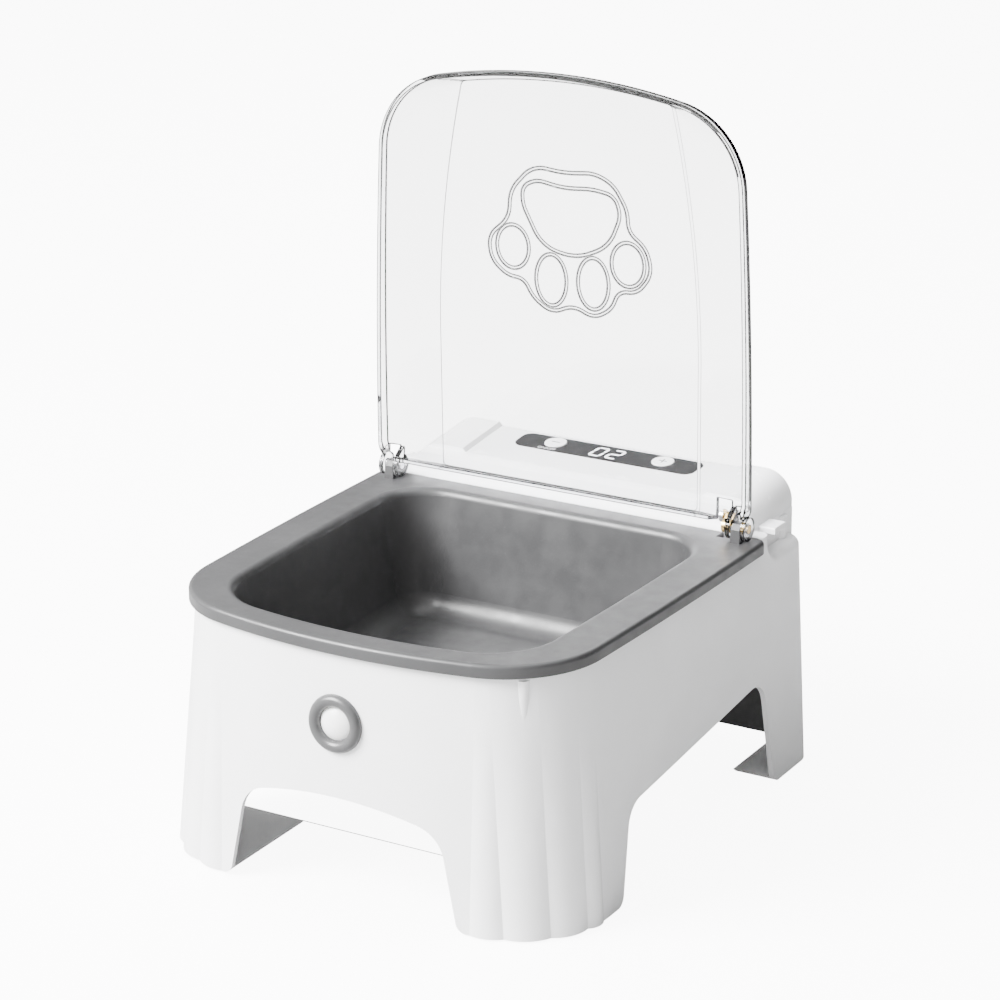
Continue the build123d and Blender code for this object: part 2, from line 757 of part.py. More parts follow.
def hood_block(inset):
    """Solid inside the hood, or inside its wall: sheared along the slope, ends rounded."""
    half = HOOD_HALF_WIDTH - inset
    radius = HOOD_END_R - inset
    front = HOOD_FRONT + inset
    rear = HOOD_REAR - inset
    top = control_z(rear) + HOOD_END_RISE - inset
    low = DECK_Z - 2 * HOOD_END_R
    face = make_face(
        [
            Line((-half, low), (half, low)),
            Line((half, low), (half, top - radius)),
            ThreePointArc(
                (half, top - radius),
                (half - radius * (1 - sqrt(0.5)), top - radius * (1 - sqrt(0.5))),
                (half - radius, top),
            ),
            Line((half - radius, top), (radius - half, top)),
            ThreePointArc(
                (radius - half, top),
                (radius * (1 - sqrt(0.5)) - half, top - radius * (1 - sqrt(0.5))),
                (-half, top - radius),
            ),
            Line((-half, top - radius), (-half, low)),
        ]
    )
    slope = radians(HOOD_SLOPE)
    seat = Plane((0, rear, 0), (1, 0, 0), (0, -1, 0))
    solid = extrude(seat * face, (rear - front) / cos(slope), dir=(0, -cos(slope), -sin(slope)))
    solid &= block((-half, half), (front, rear), (DECK_Z - inset, 2 * DECK_Z))
    brow = side_profile(
        [
            (front - 1, DECK_Z - 1 - inset),
            (front - 1, HOOD_WALL_TOP_Z - inset),
            (front, HOOD_WALL_TOP_Z - inset),
            (HOOD_BROW_Y + inset, control_z(HOOD_BROW_Y) - inset),
            (HOOD_BROW_Y + inset, 2 * DECK_Z),
            (rear + 1, 2 * DECK_Z),
            (rear + 1, DECK_Z - 1 - inset),
        ],
        (-half - 1, half + 1),
    )
    return solid & brow


def control_channel(drop):
    """Room above the sunken control face, with leaning end walls."""
    end = CONTROL_HALF_WIDTH
    high = 4 * HOOD_END_RISE
    face = make_face(
        Polyline((-end, -drop), (end, -drop), (end + high, high), (-end - high, high), close=True)
    )
    slope = radians(HOOD_SLOPE)
    rear = HOOD_REAR + 1
    seat = Plane((0, rear, control_z(rear)), (1, 0, 0), (0, -1, 0))
    length = (rear - HOOD_FRONT + 1) / cos(slope)
    return extrude(seat * face, length, dir=(0, -cos(slope), -sin(slope)))


def hood_screw_places():
    """Screws that hold the hood from under the deck."""
    return [(side * x, y) for x, y in HOOD_SCREWS for side in (-1, 1)]


def control_hood():
    """White hood over the drive and the control board."""
    hood = hood_block(0) - control_channel(0)
    hollow = hood_block(HOOD_WALL) - control_channel(HOOD_WALL)
    hood -= hollow
    seat = control_frame()
    recess = LABEL_SHEET - LABEL_PROUD
    pocket = Pos(0, LABEL_MID, -recess / 2) * extrude(
        RectangleRounded(LABEL_LENGTH, LABEL_WIDTH, LABEL_R), recess / 2, both=True
    )
    hood -= seat * pocket
    for side in (-1, 1):
        hood -= seat * Pos(side * KEY_X, KEY_MID, 0) * Cylinder(KEY_R + KEY_GAP, 6 * HOOD_WALL)
    wide, deep = DISPLAY_SIZE
    hood -= seat * Pos(0, LABEL_MID, 0) * Box(wide, deep, 6 * HOOD_WALL)
    slot_low = DECK_Z
    hood -= block(LINK_SLOT_X, (HOOD_FRONT - 1, HOOD_FRONT + 2 * HOOD_WALL), (slot_low, LINK_SLOT_TOP))
    for x, y in board_posts():
        hood += seat * round_bar(x, y, -BOARD_DEPTH, -HOOD_WALL / 2, BOSS_R)
        hood -= seat * round_bar(x, y, -BOARD_DEPTH - 1, BOARD_SCREW_GRIP - BOARD_DEPTH + 1, SCREW_R)
    for x, y in hood_screw_places():
        post = rod_z(x, y, (DECK_Z, DECK_Z + 4 * SCREW_GRIP), BOSS_R)
        hood += post & (hood_block(HOOD_WALL / 2) - control_channel(HOOD_WALL / 2))
        hood -= rod_z(x, y, (DECK_Z - 1, DECK_Z + SCREW_GRIP), SCREW_R)
    return hood


def frame_screw_places():
    """Screws that hold the gear frame's flange under the deck."""
    return [(FRAME_SCREW_X, y) for y in (FRAME_SCREW_FRONT, FRAME_SCREW_REAR)]


# ---------------------------------------------------------------- bowl and hinge lugs
def bowl():
    """Grey tray: a cup that narrows to its floor and a wide rim with a turned-down edge,
    notched at the back so that it lifts past the drive link."""
    top = RIM_TOP_Z
    sheet_low = top - BOWL_SHEET
    rim = rim_outline()
    tray = rim.prism(top - RIM_DEPTH, top)
    tray -= rim.shifted(-BOWL_SHEET).prism(top - RIM_DEPTH - 1, sheet_low)
    rest = SHELF_Z + BOWL_REST_GAP
    rib = rim.shifted(-RIM_RIB_INSET).prism(rest, sheet_low)
    rib -= rim.shifted(-RIM_RIB_INSET - BOWL_WALL).prism(rest - 1, sheet_low)
    tray += rib
    low = BOWL_FLOOR_Z - BOWL_WALL
    cup = Solid.make_loft(
        [bowl_outline(BOWL_TAPER - BOWL_WALL).wire(low), bowl_outline(-BOWL_WALL).wire(sheet_low)],
        ruled=True,
    )
    cup = fillet(cup.faces().sort_by(Axis.Z)[0].edges(), BOWL_FLOOR_FILLET + BOWL_WALL)
    cavity = Solid.make_loft(
        [bowl_outline(BOWL_TAPER).wire(BOWL_FLOOR_Z), bowl_outline().wire(top)], ruled=True
    )
    cavity = fillet(cavity.faces().sort_by(Axis.Z)[0].edges(), BOWL_FLOOR_FILLET)
    tray += cup
    tray -= cavity
    upper = tray.faces().filter_by(Axis.Z).sort_by(Axis.Z)[-1]
    outer = upper.outer_wire().edges()
    inner = [edge for wire in upper.inner_wires() for edge in wire.edges()]
    tray = fillet(outer, RIM_EDGE_FILLET)
    upper = tray.faces().filter_by(Axis.Z).sort_by(Axis.Z)[-1]
    inner = [edge for wire in upper.inner_wires() for edge in wire.edges()]
    tray = fillet(inner, BOWL_LIP_FILLET)
    for x, y in lug_peg_places():
        tray -= rod_z(x, y, (sheet_low - 1, top + 1), LUG_PEG_R)
    notch_front = RIM_REAR - RIM_RIB_INSET
    tray -= block(LINK_SLOT_X, (notch_front, RIM_REAR + 1), (top - RIM_DEPTH - 1, top + 1))
    return tray


def lug_peg_places():
    """Pegs of the hinge lugs in the rim."""
    return [(side * LUG_X, LUG_PEG_Y) for side in (-1, 1)]


def hinge_lug(side):
    """Clear block on the rim, with a bore for the hinge pin and a peg through the rim."""
    half = LUG_WIDTH / 2
    x_mid = side * LUG_X
    profile = side_profile(
        [
            (LUG_FRONT, RIM_TOP_Z),
            (LUG_REAR, RIM_TOP_Z),
            (LUG_REAR, RIM_TOP_Z + LUG_STEP),
            (HINGE_Y + LUG_HEAD_R, HINGE_Z),
            (HINGE_Y + LUG_HEAD_R / 2, LUG_TOP_Z),
            (HINGE_Y - LUG_HEAD_R / 2, LUG_TOP_Z),
            (HINGE_Y - LUG_HEAD_R, HINGE_Z),
            (LUG_FRONT, RIM_TOP_Z + LUG_STEP),
        ],
        (x_mid - half, x_mid + half),
    )
    lug = profile + rod_z(x_mid, LUG_PEG_Y, (RIM_TOP_Z - BOWL_SHEET, RIM_TOP_Z + 1), LUG_PEG_R)
    lug -= rod_x((x_mid - half - 1, x_mid + half + 1), HINGE_Y, HINGE_Z, PIN_R + PIN_GAP)
    return lug


# ---------------------------------------------------------------- lid
def lid_outline():
    """Edge of the closed lid's skirt."""
    return Outline(
        LID_HALF_WIDTH,
        LID_FRONT,
        LID_REAR_LOW,
        LID_CORNER_R,
        LID_REAR_R,
        LID_BOW_R,
        LID_SIDE_BOW_R,
    )


def lid_bottom_z():
    """Lower edge of the closed skirt."""
    return RIM_TOP_Z + LID_GAP


def ramp_z(y, rear_height, front_height):
    """Height of a plane that falls from the hinge towards the front of the closed lid."""
    share = (HINGE_Y - y) / (HINGE_Y + LID_FRONT)
    return lid_bottom_z() + rear_height + (front_height - rear_height) * share


def lid_ring(half_edges, rear_height, front_height, drop):
    """Closed wire on a falling plane, from flat edges and their mirror images."""
    left = [edge.mirror(Plane.YZ) for edge in reversed(half_edges)]
    loop = Wire(half_edges + left)
    slope = atan((rear_height - front_height) / (HINGE_Y + LID_FRONT))
    centre = Vector(0, HINGE_Y, ramp_z(HINGE_Y, rear_height, front_height) - drop)
    turn = Location((0, HINGE_Y, centre.Z), (degrees(slope), 0, 0))
    return loop.moved(Location((0, -HINGE_Y, 0))).moved(turn)


def skirt_edges(inset, rear):
    """Right half of the skirt's outline with its rear edge at a given place."""
    outline = lid_outline().shifted(-inset)
    outline.rear = rear
    outline.rear_r = LID_REAR_R
    outline.rear_corner = outline.find_rear_corner()
    edges = outline.right_edges()
    side = edges[2]
    middle = side @ CREASE_SPLIT
    return edges[:2] + [
        arc_about(outline.side_centre, side @ 0, middle),
        arc_about(outline.side_centre, middle, side @ 1),
        edges[3],
        edges[4],
    ]


def crease_x(reach):
    """Distance of the crease from the middle at a distance forward of the hinge."""
    run = LID_FRONT + HINGE_Y - PANEL_INSET - CREASE_STRAIGHT
    bow = (run**2 / (PANEL_HALF_WIDTH - PANEL_FRONT_HALF)) / 2
    beyond = max(0.0, reach - CREASE_STRAIGHT)
    return PANEL_HALF_WIDTH - beyond**2 / (2 * bow)


def panel_edges(inset, rear):
    """Right half of the flat middle panel: front edge, crease and rear edge."""
    front = lid_outline().shifted(-PANEL_INSET - inset)
    half = PANEL_FRONT_HALF - inset
    corner = PANEL_CORNER_R
    start = front.front_point(0)
    front_end = front.front_point(half - corner)
    side_start = Vector(half, front_end.Y + corner)
    middle_y = HINGE_Y - (HINGE_Y + LID_FRONT + CREASE_STRAIGHT) / 2
    bend_y = HINGE_Y - CREASE_STRAIGHT
    rear_end = Vector(PANEL_HALF_WIDTH - inset, rear - corner)
    rear_bend = rear_end + Vector(-corner * 0.3, corner * 0.7)
    rear_start = Vector(rear_end.X - corner, rear)
    return [
        arc_about(front.bow_centre, start, front_end),
        ThreePointArc(front_end, front_end + Vector(corner * 0.7, corner * 0.3), side_start),
        ThreePointArc(
            side_start,
            Vector(crease_x(HINGE_Y - middle_y) - inset, middle_y),
            Vector(PANEL_HALF_WIDTH - inset, bend_y),
        ),
        Line((PANEL_HALF_WIDTH - inset, bend_y), rear_end),
        ThreePointArc(rear_end, rear_bend, rear_start),
        Line(rear_start, Vector(0, rear)),
    ]


def lid_form(inset):
    """Solid form of the closed lid, or of its inside: skirt, creased sides and panel."""
    low = lid_bottom_z()
    rear_low = LID_REAR_LOW - inset
    rear_mid = (LID_REAR_LOW + LID_REAR_HIGH) / 2 - inset
    rear_high = LID_REAR_HIGH - inset
    drop = inset
    skirt_drop = inset / 2
    edges = skirt_edges(inset, rear_low)
    left = [edge.mirror(Plane.YZ) for edge in reversed(edges)]
    base = Wire(edges + left).moved(Location((0, 0, low)))
    skirt = lid_ring(skirt_edges(inset, rear_mid), SKIRT_REAR, SKIRT_FRONT, skirt_drop)
    panel = lid_ring(panel_edges(inset / 2, rear_high), PANEL_REAR, PANEL_FRONT, drop)
    form = Solid.make_loft([base, skirt, panel], ruled=True)
    if inset:
        form = Part(form.wrapped) + extrude(Face(base), -1)
    return form


def opened(solid):
    """A lid piece turned from closed to fully open about the hinge."""
    hinge = Axis((0, HINGE_Y, HINGE_Z), (1, 0, 0))
    return solid.rotate(hinge, -LID_OPEN)


def cheek_spans():
    """The lid's hinge cheeks on the two sides of a right-hand lug: (low, high) across."""
    half = LUG_WIDTH / 2 + CHEEK_GAP
    return [
        (LUG_X - half - CHEEK_WIDTH, LUG_X - half),
        (LUG_X + half, LUG_X + half + CHEEK_WIDTH),
    ]


def lid():
    """Clear cover: thin shell with notches for the lugs, hinge cheeks and a raised paw."""
    cover = Part(lid_form(0).wrapped) - lid_form(LID_SHEET)
    inner_span, outer_span = cheek_spans()
    gap = (inner_span[1], outer_span[0])
    for side in (-1, 1):
        notch = sorted((side * gap[0], side * gap[1]))
        cover -= rod_x(notch, HINGE_Y, HINGE_Z, NOTCH_R)
    cover -= rod_x((LINK_X - LINK_NOTCH_HALF, inner_span[0]), HINGE_Y, HINGE_Z, LINK_NOTCH_R)
    for span in (inner_span, outer_span):
        for side in (-1, 1):
            low, high = sorted((side * span[0], side * span[1]))
            cheek = rod_x((low, high), HINGE_Y, HINGE_Z, CHEEK_R)
            web = side_profile(cheek_web(), (low, high))
            cover += cheek
            cover += web & lid_form(0)
            cover -= rod_x((low - 1, high + 1), HINGE_Y, HINGE_Z, PIN_R)
    for ridge in paw_ridges():
        cover += ridge
    return opened(cover)


def cheek_web():
    """Corners of the web that joins a hinge cheek to the lid's panel."""
    top = lid_bottom_z() + PANEL_REAR
    return [
        (HINGE_Y + CHEEK_R, HINGE_Z),
        (HINGE_Y + CHEEK_R, top),
        (HINGE_Y - CHEEK_WEB, top),
        (HINGE_Y - CHEEK_R, HINGE_Z - CHEEK_R / 2),
    ]


def rounded_loop(points):
    """Closed outline through hand-set corners, each rounded as far as its two sides allow."""
    corners = [Vector(x + PAW_MID_X, -reach) for x, reach in points]
    before = corners[-1:] + corners[:-1]
    after = corners[1:] + corners[:1]
    radii = []
    for back, here, ahead in zip(before, corners, after):
        turn = radians((here - back).get_angle(ahead - here))
        run = min((here - back).length, (ahead - here).length)
        radii.append(0.45 * run / tan(turn / 2))
    return Face(Wire(FilletPolyline(*corners, radius=radii, close=True)))


def paw_ridges():
    """Raised lines of the paw on the panel: outer contour, pad and four toes."""
    half = PAW_RIDGE / 2
    ridges = []
    for points in (PAW_CONTOUR, PAW_PAD):
        face = rounded_loop(points)
        ridges.append(offset(face, half) - offset(face, -half))
    for x, reach, across, along in PAW_TOES:
        outer = Ellipse(across + half, along + half)
        inner = Ellipse(across - half, along - half)
        ridges.append(Pos(x + PAW_MID_X, -reach) * (outer - inner))
    slope = atan((PANEL_REAR - PANEL_FRONT) / (HINGE_Y + LID_FRONT))
    top = ramp_z(HINGE_Y, PANEL_REAR, PANEL_FRONT)
    seat = Location((0, HINGE_Y, top), (degrees(slope), 0, 0)) * Pos(0, 0, -LID_SHEET / 2)
    return [seat * extrude(ridge, LID_SHEET / 2 + PAW_RISE, dir=(0, 0, 1)) for ridge in ridges]


# ---------------------------------------------------------------- label, keys and electronics
def label_panel():
    """Dark printed panel in its pocket, with a round hole for each key."""
    recess = LABEL_SHEET - LABEL_PROUD
    sheet = extrude(RectangleRounded(LABEL_LENGTH, LABEL_WIDTH, LABEL_R), LABEL_SHEET)
    panel = Pos(0, LABEL_MID, -recess) * sheet
    for side in (-1, 1):
        panel -= Pos(side * KEY_X, KEY_MID, 0) * Cylinder(KEY_R + KEY_GAP, 4 * LABEL_SHEET)
    return control_frame() * panel


def key_levels():
    """Depths under the control face: top of the key, top and bottom of its flange."""
    top = LABEL_PROUD + KEY_HEAD_PROUD
    flange_top = -HOOD_WALL - KEY_GAP
    return top, flange_top, flange_top - KEY_FLANGE


def round_bar(x, y, low, high, radius):
    """Upright round bar in the label's own frame."""
    return Pos(x, y, (low + high) / 2) * Cylinder(radius, high - low)


def key(side):
    """Round key cap with a flange that keeps it under the hood."""
    top, flange_top, flange_low = key_levels()
    x = side * KEY_X
    cap = round_bar(x, KEY_MID, flange_low, top, KEY_R)
    cap = fillet(cap.faces().sort_by(Axis.Z)[-1].edges(), KEY_HEAD_PROUD)
    cap += round_bar(x, KEY_MID, flange_low, flange_top, KEY_FLANGE_R)
    return control_frame() * cap


def plunger(side):
    """Plunger of the switch under a key."""
    low = -BOARD_DEPTH + SWITCH_FLOOR + KEY_TRAVEL + KEY_GAP
    _, _, flange_low = key_levels()
    return control_frame() * round_bar(side * KEY_X, KEY_MID, low, flange_low, PLUNGER_R)


def tact_switches():
    """Two square switches on the board, each with a well for its plunger."""
    switches = []
    for side in (-1, 1):
        x = side * KEY_X
        body = Pos(x, KEY_MID, -BOARD_DEPTH + SWITCH_HEIGHT / 2) * Box(
            SWITCH_SIZE, SWITCH_SIZE, SWITCH_HEIGHT
        )
        body -= round_bar(x, KEY_MID, -BOARD_DEPTH + SWITCH_FLOOR, 0, PLUNGER_R + PLUNGER_GAP)
        switches.append(control_frame() * body)
    return switches


def board_posts():
    """Places of the posts that carry the control board: (x, y) in the label's frame."""
    half_x = BOARD_SIZE[0] / 2 - BOARD_EDGE
    half_y = BOARD_SIZE[1] / 2 - BOARD_EDGE
    return [(sx * half_x, BOARD_MID + sy * half_y) for sx in (-1, 1) for sy in (-1, 1)]


def control_board():
    """Circuit board under the control face, with a driver chip and a plug strip."""
    long, wide = BOARD_SIZE
    board = Pos(0, BOARD_MID, -BOARD_DEPTH - BOARD_SHEET / 2) * Box(long, wide, BOARD_SHEET)
    for x, y in board_posts():
        board -= round_bar(x, y, -2 * BOARD_DEPTH, 0, SCREW_R)
    chip = Pos(-18, BOARD_MID - 4, -BOARD_DEPTH + 0.8) * Box(9, 6, 1.6)
    strip = Pos(14, BOARD_MID - 6, -BOARD_DEPTH + 1.5) * Box(16, 5, 3)
    return control_frame() * (board + chip + strip)


def display_module():
    """Two-figure display that stands on the board and looks through the hood."""
    wide, deep = DISPLAY_SIZE
    low = -BOARD_DEPTH
    high = LABEL_PROUD - LABEL_SHEET
    block_size = Box(wide - 2 * DISPLAY_GAP, deep - 2 * DISPLAY_GAP, high - low)
    return control_frame() * Pos(0, LABEL_MID, (low + high) / 2) * block_size


def screw(radius, grip):
    """Screw along Z: its head sits below zero and its shank reaches up."""
    head = Pos(0, 0, -SCREW_HEAD / 2) * Cylinder(SCREW_HEAD_R, SCREW_HEAD)
    return head + Pos(0, 0, grip / 2) * Cylinder(radius, grip)


def board_screws():
    """Four screws that hold the board to the hood's posts."""
    back = -BOARD_DEPTH - BOARD_SHEET
    grip = BOARD_SHEET + BOARD_SCREW_GRIP
    return [control_frame() * Pos(x, y, back) * screw(SCREW_R, grip) for x, y in board_posts()]


def deck_clips():
    """Small white catches at the two ends of the hood."""
    clip = block((HOOD_HALF_WIDTH, CLIP_OUTER), (CLIP_FRONT, CLIP_REAR), (CLIP_LOW, CLIP_TOP))
    high = [edge for edge in clip.edges() if edge.center().Z > CLIP_TOP - 0.1]
    upper = [edge for edge in high if edge.center().X > HOOD_HALF_WIDTH + 0.1]
    clip = fillet(upper, CLIP_EDGE_R)
    return both_sides(clip)


# ---------------------------------------------------------------- base, feet and batteries
def base_form():
    """Room that the base cover fills inside the housing."""
    return shell_body(WALL + COVER_GAP, SHELL_Z0 + WALL, DECK_Z - WALL, False)


def cell_z():
    """Height of the battery cells' axes."""
    return COVER_REAR_Z + COVER_SHEET + CELL_GAP + CELL_R


def battery_room(grow):
    """Block around the four cells and their contacts."""
    half_x = CELL_LENGTH + CONTACT_ROOM + grow
    half_y = CELL_PITCH / 2 + CELL_R + CELL_GAP + grow
    top = cell_z() + CELL_R + CELL_GAP + grow
    low = COVER_REAR_Z
    return block((-half_x, half_x), (BATTERY_Y - half_y, BATTERY_Y + half_y), (low, top))


def door_span(grow):
    """Recess for the battery door, or the door itself."""
    half_y = CELL_PITCH / 2 + CELL_R + grow
    half_x = CELL_LENGTH + grow
    y_span = (BATTERY_Y - half_y, BATTERY_Y + half_y)
    z_span = (COVER_REAR_Z - 1, COVER_REAR_Z + DOOR_SHEET)
    return block((-half_x, half_x + DOOR_TONGUE), y_span, z_span)


def door_screw_place():
    """Screw at the end of the battery door."""
    return (CELL_LENGTH + DOOR_TONGUE - SCREW_HEAD_R - 1, BATTERY_Y)


def base_cover():
    """Black cover: a plate under the bowl that steps down to the battery box behind it."""
    low, sheet = COVER_REAR_Z, COVER_SHEET
    front_z = COVER_FRONT_Z
    step = COVER_STEP_Y
    far = SHELL_REAR + 1
    near = -FOOT_FRONT
    profile = side_profile(
        [
            (near, front_z),
            (step, front_z),
            (step, low),
            (far, low),
            (far, low + sheet),
            (step + sheet, low + sheet),
            (step + sheet, front_z + sheet),
            (near, front_z + sheet),
        ],
        (-FOOT_HALF_WIDTH, FOOT_HALF_WIDTH),
    )
    cover = profile & base_form()
    cover += battery_room(BATTERY_WALL) & base_form()
    cover -= battery_room(0) - block((-200, 200), (0, 200), (low - 1, low + sheet))
    slot_x = CELL_LENGTH - DOOR_LEDGE
    slot_y = CELL_PITCH / 2 + CELL_R - DOOR_LEDGE
    slot_span = (BATTERY_Y - slot_y, BATTERY_Y + slot_y)
    cover -= block((-slot_x, slot_x), slot_span, (low - 1, low + sheet + 1))
    cover -= door_span(COVER_GAP)
    x, y = door_screw_place()
    cover += rod_z(x, y, (low + DOOR_SHEET, low + DOOR_SHEET + SCREW_GRIP + 1), BOSS_R)
    cover -= rod_z(x, y, (low, low + DOOR_SHEET + SCREW_GRIP), SCREW_R)
    for px, py, z, _ in base_posts():
        for side in (-1, 1):
            cover -= rod_z(side * px, py, (z - 2 * sheet, z + 1), SCREW_R)
    return cover


def battery_door():
    """Flat door under the cells, held by one screw."""
    door = door_span(0) & block((-200, 200), (0, 200), (COVER_REAR_Z, COVER_REAR_Z + DOOR_SHEET))
    x, y = door_screw_place()
    return door - rod_z(x, y, (COVER_REAR_Z - 1, COVER_REAR_Z + 2 * DOOR_SHEET), SCREW_R)


def battery_cells():
    """Four cells, two to a row."""
    cells = []
    for row in (-1, 1):
        y = BATTERY_Y + row * CELL_PITCH / 2
        for side in (-1, 1):
            near, far = sorted((side * CELL_SPLIT, side * (CELL_SPLIT + CELL_LENGTH - 1)))
            cells.append(rod_x((near, far), y, cell_z(), CELL_R))
    return cells


def battery_contacts():
    """Spring plates between the ends of the cells and the box."""
    plates = []
    outer = CELL_LENGTH + CONTACT_ROOM
    inner = CELL_SPLIT + CELL_LENGTH - 1
    for side in (-1, 1):
        for row in (-1, 1):
            y = BATTERY_Y + row * CELL_PITCH / 2
            near, far = sorted((side * (outer - CONTACT_SHEET), side * outer))
            half = CELL_R - 1
            plate = block((near, far), (y - half, y + half), (cell_z() - half, cell_z() + half))
            near, far = sorted((side * inner, side * outer))
            plates.append(plate + rod_x((near, far), y, cell_z(), CELL_R / 2))
    return plates


def rubber_feet():
    """Four round pads in the bottoms of the legs."""
    high = SHELL_Z0 + FOOT_POCKET
    return [rod_z(x, y, (0, high), FOOT_R) for x, y in foot_places()]


def base_screws():
    """Screws that hold the base cover to the posts, and the battery door's screw."""
    screws = []
    for x, y, z, _ in base_posts():
        for side in (-1, 1):
            grip = COVER_SHEET + SCREW_GRIP - 1
            screws.append(Pos(side * x, y, z - COVER_SHEET) * screw(SCREW_R, grip))
    x, y = door_screw_place()
    screws.append(Pos(x, y, COVER_REAR_Z) * screw(SCREW_R, DOOR_SHEET + SCREW_GRIP - 1))
    return screws


def hood_screws():
    """Screws from under the deck into the hood's posts."""
    seat = DECK_Z - WALL
    return [Pos(x, y, seat) * screw(SCREW_R, WALL + SCREW_GRIP - 1) for x, y in hood_screw_places()]


def power_socket():
    """Round low-voltage inlet in the rear wall, with its centre pin."""
    half = SOCKET_SIZE / 2
    body = block(
        (SOCKET_X - half, SOCKET_X + half),
        (SHELL_REAR - SOCKET_DEPTH, SHELL_REAR),
        (SOCKET_Z - half, SOCKET_Z + half),
    )
    deep = SOCKET_DEPTH - 3
    seat = Pos(SOCKET_X, SHELL_REAR, SOCKET_Z) * Rot(90, 0, 0)
    body -= seat * Cylinder(SOCKET_BORE_R, 2 * deep)
    body += seat * Pos(0, 0, deep / 2 + 0.5) * Cylinder(SOCKET_PIN_R, deep - 1)
    return body


# ---------------------------------------------------------------- drive train
def train_centres():
    """Axes of the gears as (y, z): output, second stage, first stage and motor."""
    first = MODULE * (SECTOR_TEETH + SECTOR_PINION_TEETH) / 2
    second = MODULE * (WHEEL_TEETH + PINION_TEETH) / 2
    output = Vector(OUTPUT_Y, OUTPUT_Z)
    stage_two = about(-TRAIN_TILT, first, output)
    stage_one = about(-90, second, stage_two)
    return output, stage_two, stage_one, about(-90, second, stage_one)


def tooth_flank(teeth, radius):
    """Half the width of a tooth, as an angle, at a radius on its involute flank."""
    pitch = MODULE * teeth / 2
    base = pitch * cos(radians(PRESSURE_ANGLE))
    pitch_angle = radians(PRESSURE_ANGLE)
    at = acos(min(1.0, base / radius))
    half_pitch = pi / (2 * teeth) - BACKLASH / (2 * pitch)
    return half_pitch + (tan(pitch_angle) - pitch_angle) - (tan(at) - at)


def gear_face(teeth, turn):
    """Flat spur gear with one tooth centred at an angle in degrees."""
    pitch = MODULE * teeth / 2
    base = pitch * cos(radians(PRESSURE_ANGLE))
    tip = pitch + ADDENDUM * MODULE
    root = pitch - DEDENDUM * MODULE
    start = max(root, base)
    radii = [start + (tip - start) * step / FLANK_STEPS for step in range(FLANK_STEPS + 1)]
    right = [(-tooth_flank(teeth, radius), radius) for radius in radii]
    if root < base:
        right.insert(0, (right[0][0], root))
    flank = right + [(-angle, radius) for angle, radius in reversed(right)]
    points = []
    for tooth in range(teeth):
        middle = turn + 360 / teeth * tooth
        points += [about(middle + degrees(angle), radius) for angle, radius in flank]
    return make_face(Polyline(*points, close=True))


def gear(teeth, turn, centre, x_span, shape=None):
    """Gear solid between two places across, about an axis along X."""
    low, high = x_span
    face = gear_face(teeth, turn) if shape is None else shape
    seat = Plane(((low + high) / 2, centre.X, centre.Y), (0, 1, 0), (1, 0, 0))
    return extrude(seat * face, (high - low) / 2, both=True)


def layer(start):
    """Span across of a gear layer that begins at a place."""
    return (start, start + FACE_WIDTH)


def output_gear():
    """Toothed sector on the output shaft: only the teeth that the lid's swing uses."""
    centre, _, _, _ = train_centres()
    step = 360 / SECTOR_TEETH
    mesh = -TRAIN_TILT
    last = mesh + 1.5 * step
    swing = step * (round(LID_OPEN / step) + 1)
    first = mesh - swing - step / 2
    reach = MODULE * SECTOR_TEETH
    fan = [Vector(0, 0)] + [about(first + (last - first) * k / 4, reach) for k in range(5)]
    face = gear_face(SECTOR_TEETH, mesh) & make_face(Polyline(*fan, close=True))
    sector = gear(SECTOR_TEETH, mesh, centre, layer(LAYER_A), face)
    hub_span = (LAYER_A - HUB_RUN, LAYER_A + FACE_WIDTH + HUB_RUN)
    sector += rod_x(hub_span, centre.X, centre.Y, SECTOR_HUB_R)
    return sector - rod_x((hub_span[0] - 1, hub_span[1] + 1), centre.X, centre.Y, OUTPUT_SHAFT_R)


def gear_stage_two():
    """Compound gear: a pinion under the sector and a wheel beside it."""
    _, centre, _, _ = train_centres()
    half_step = 180 / SECTOR_PINION_TEETH
    wheel_low = LAYER_A - STAGE_GAP - FACE_WIDTH
    wheel = gear(WHEEL_TEETH, -90, centre, (wheel_low, wheel_low + FACE_WIDTH))
    pinion_span = (wheel_low + FACE_WIDTH, FRAME_OUTER - FRAME_RUN)
    pinion = gear(SECTOR_PINION_TEETH, 180 - TRAIN_TILT + half_step, centre, pinion_span)
    hub = rod_x((FRAME_INNER + FRAME_SHEET + FRAME_RUN, wheel_low), centre.X, centre.Y, STAGE_HUB_R)
    bore = rod_x((FRAME_INNER, FRAME_OUTER), centre.X, centre.Y, AXLE_R + PIN_GAP)
    return wheel + pinion + hub - bore


def gear_stage_one():
    """Compound gear between the motor pinion and the second stage."""
    _, _, centre, _ = train_centres()
    half_step = 180 / PINION_TEETH
    wheel_two_low = LAYER_A - STAGE_GAP - FACE_WIDTH
    wheel_low = wheel_two_low - STAGE_GAP - FACE_WIDTH
    wheel = gear(WHEEL_TEETH, -90, centre, (wheel_low, wheel_low + FACE_WIDTH))
    pinion_span = (wheel_low + FACE_WIDTH, wheel_two_low + FACE_WIDTH)
    pinion = gear(PINION_TEETH, 90 + half_step, centre, pinion_span)
    hub = rod_x((FRAME_INNER + FRAME_SHEET + FRAME_RUN, wheel_low), centre.X, centre.Y, STAGE_HUB_R)
    tail = rod_x((pinion_span[1], FRAME_OUTER - FRAME_RUN), centre.X, centre.Y, STAGE_HUB_R)
    bore = rod_x((FRAME_INNER, FRAME_OUTER), centre.X, centre.Y, AXLE_R + PIN_GAP)
    return wheel + pinion + hub + tail - bore


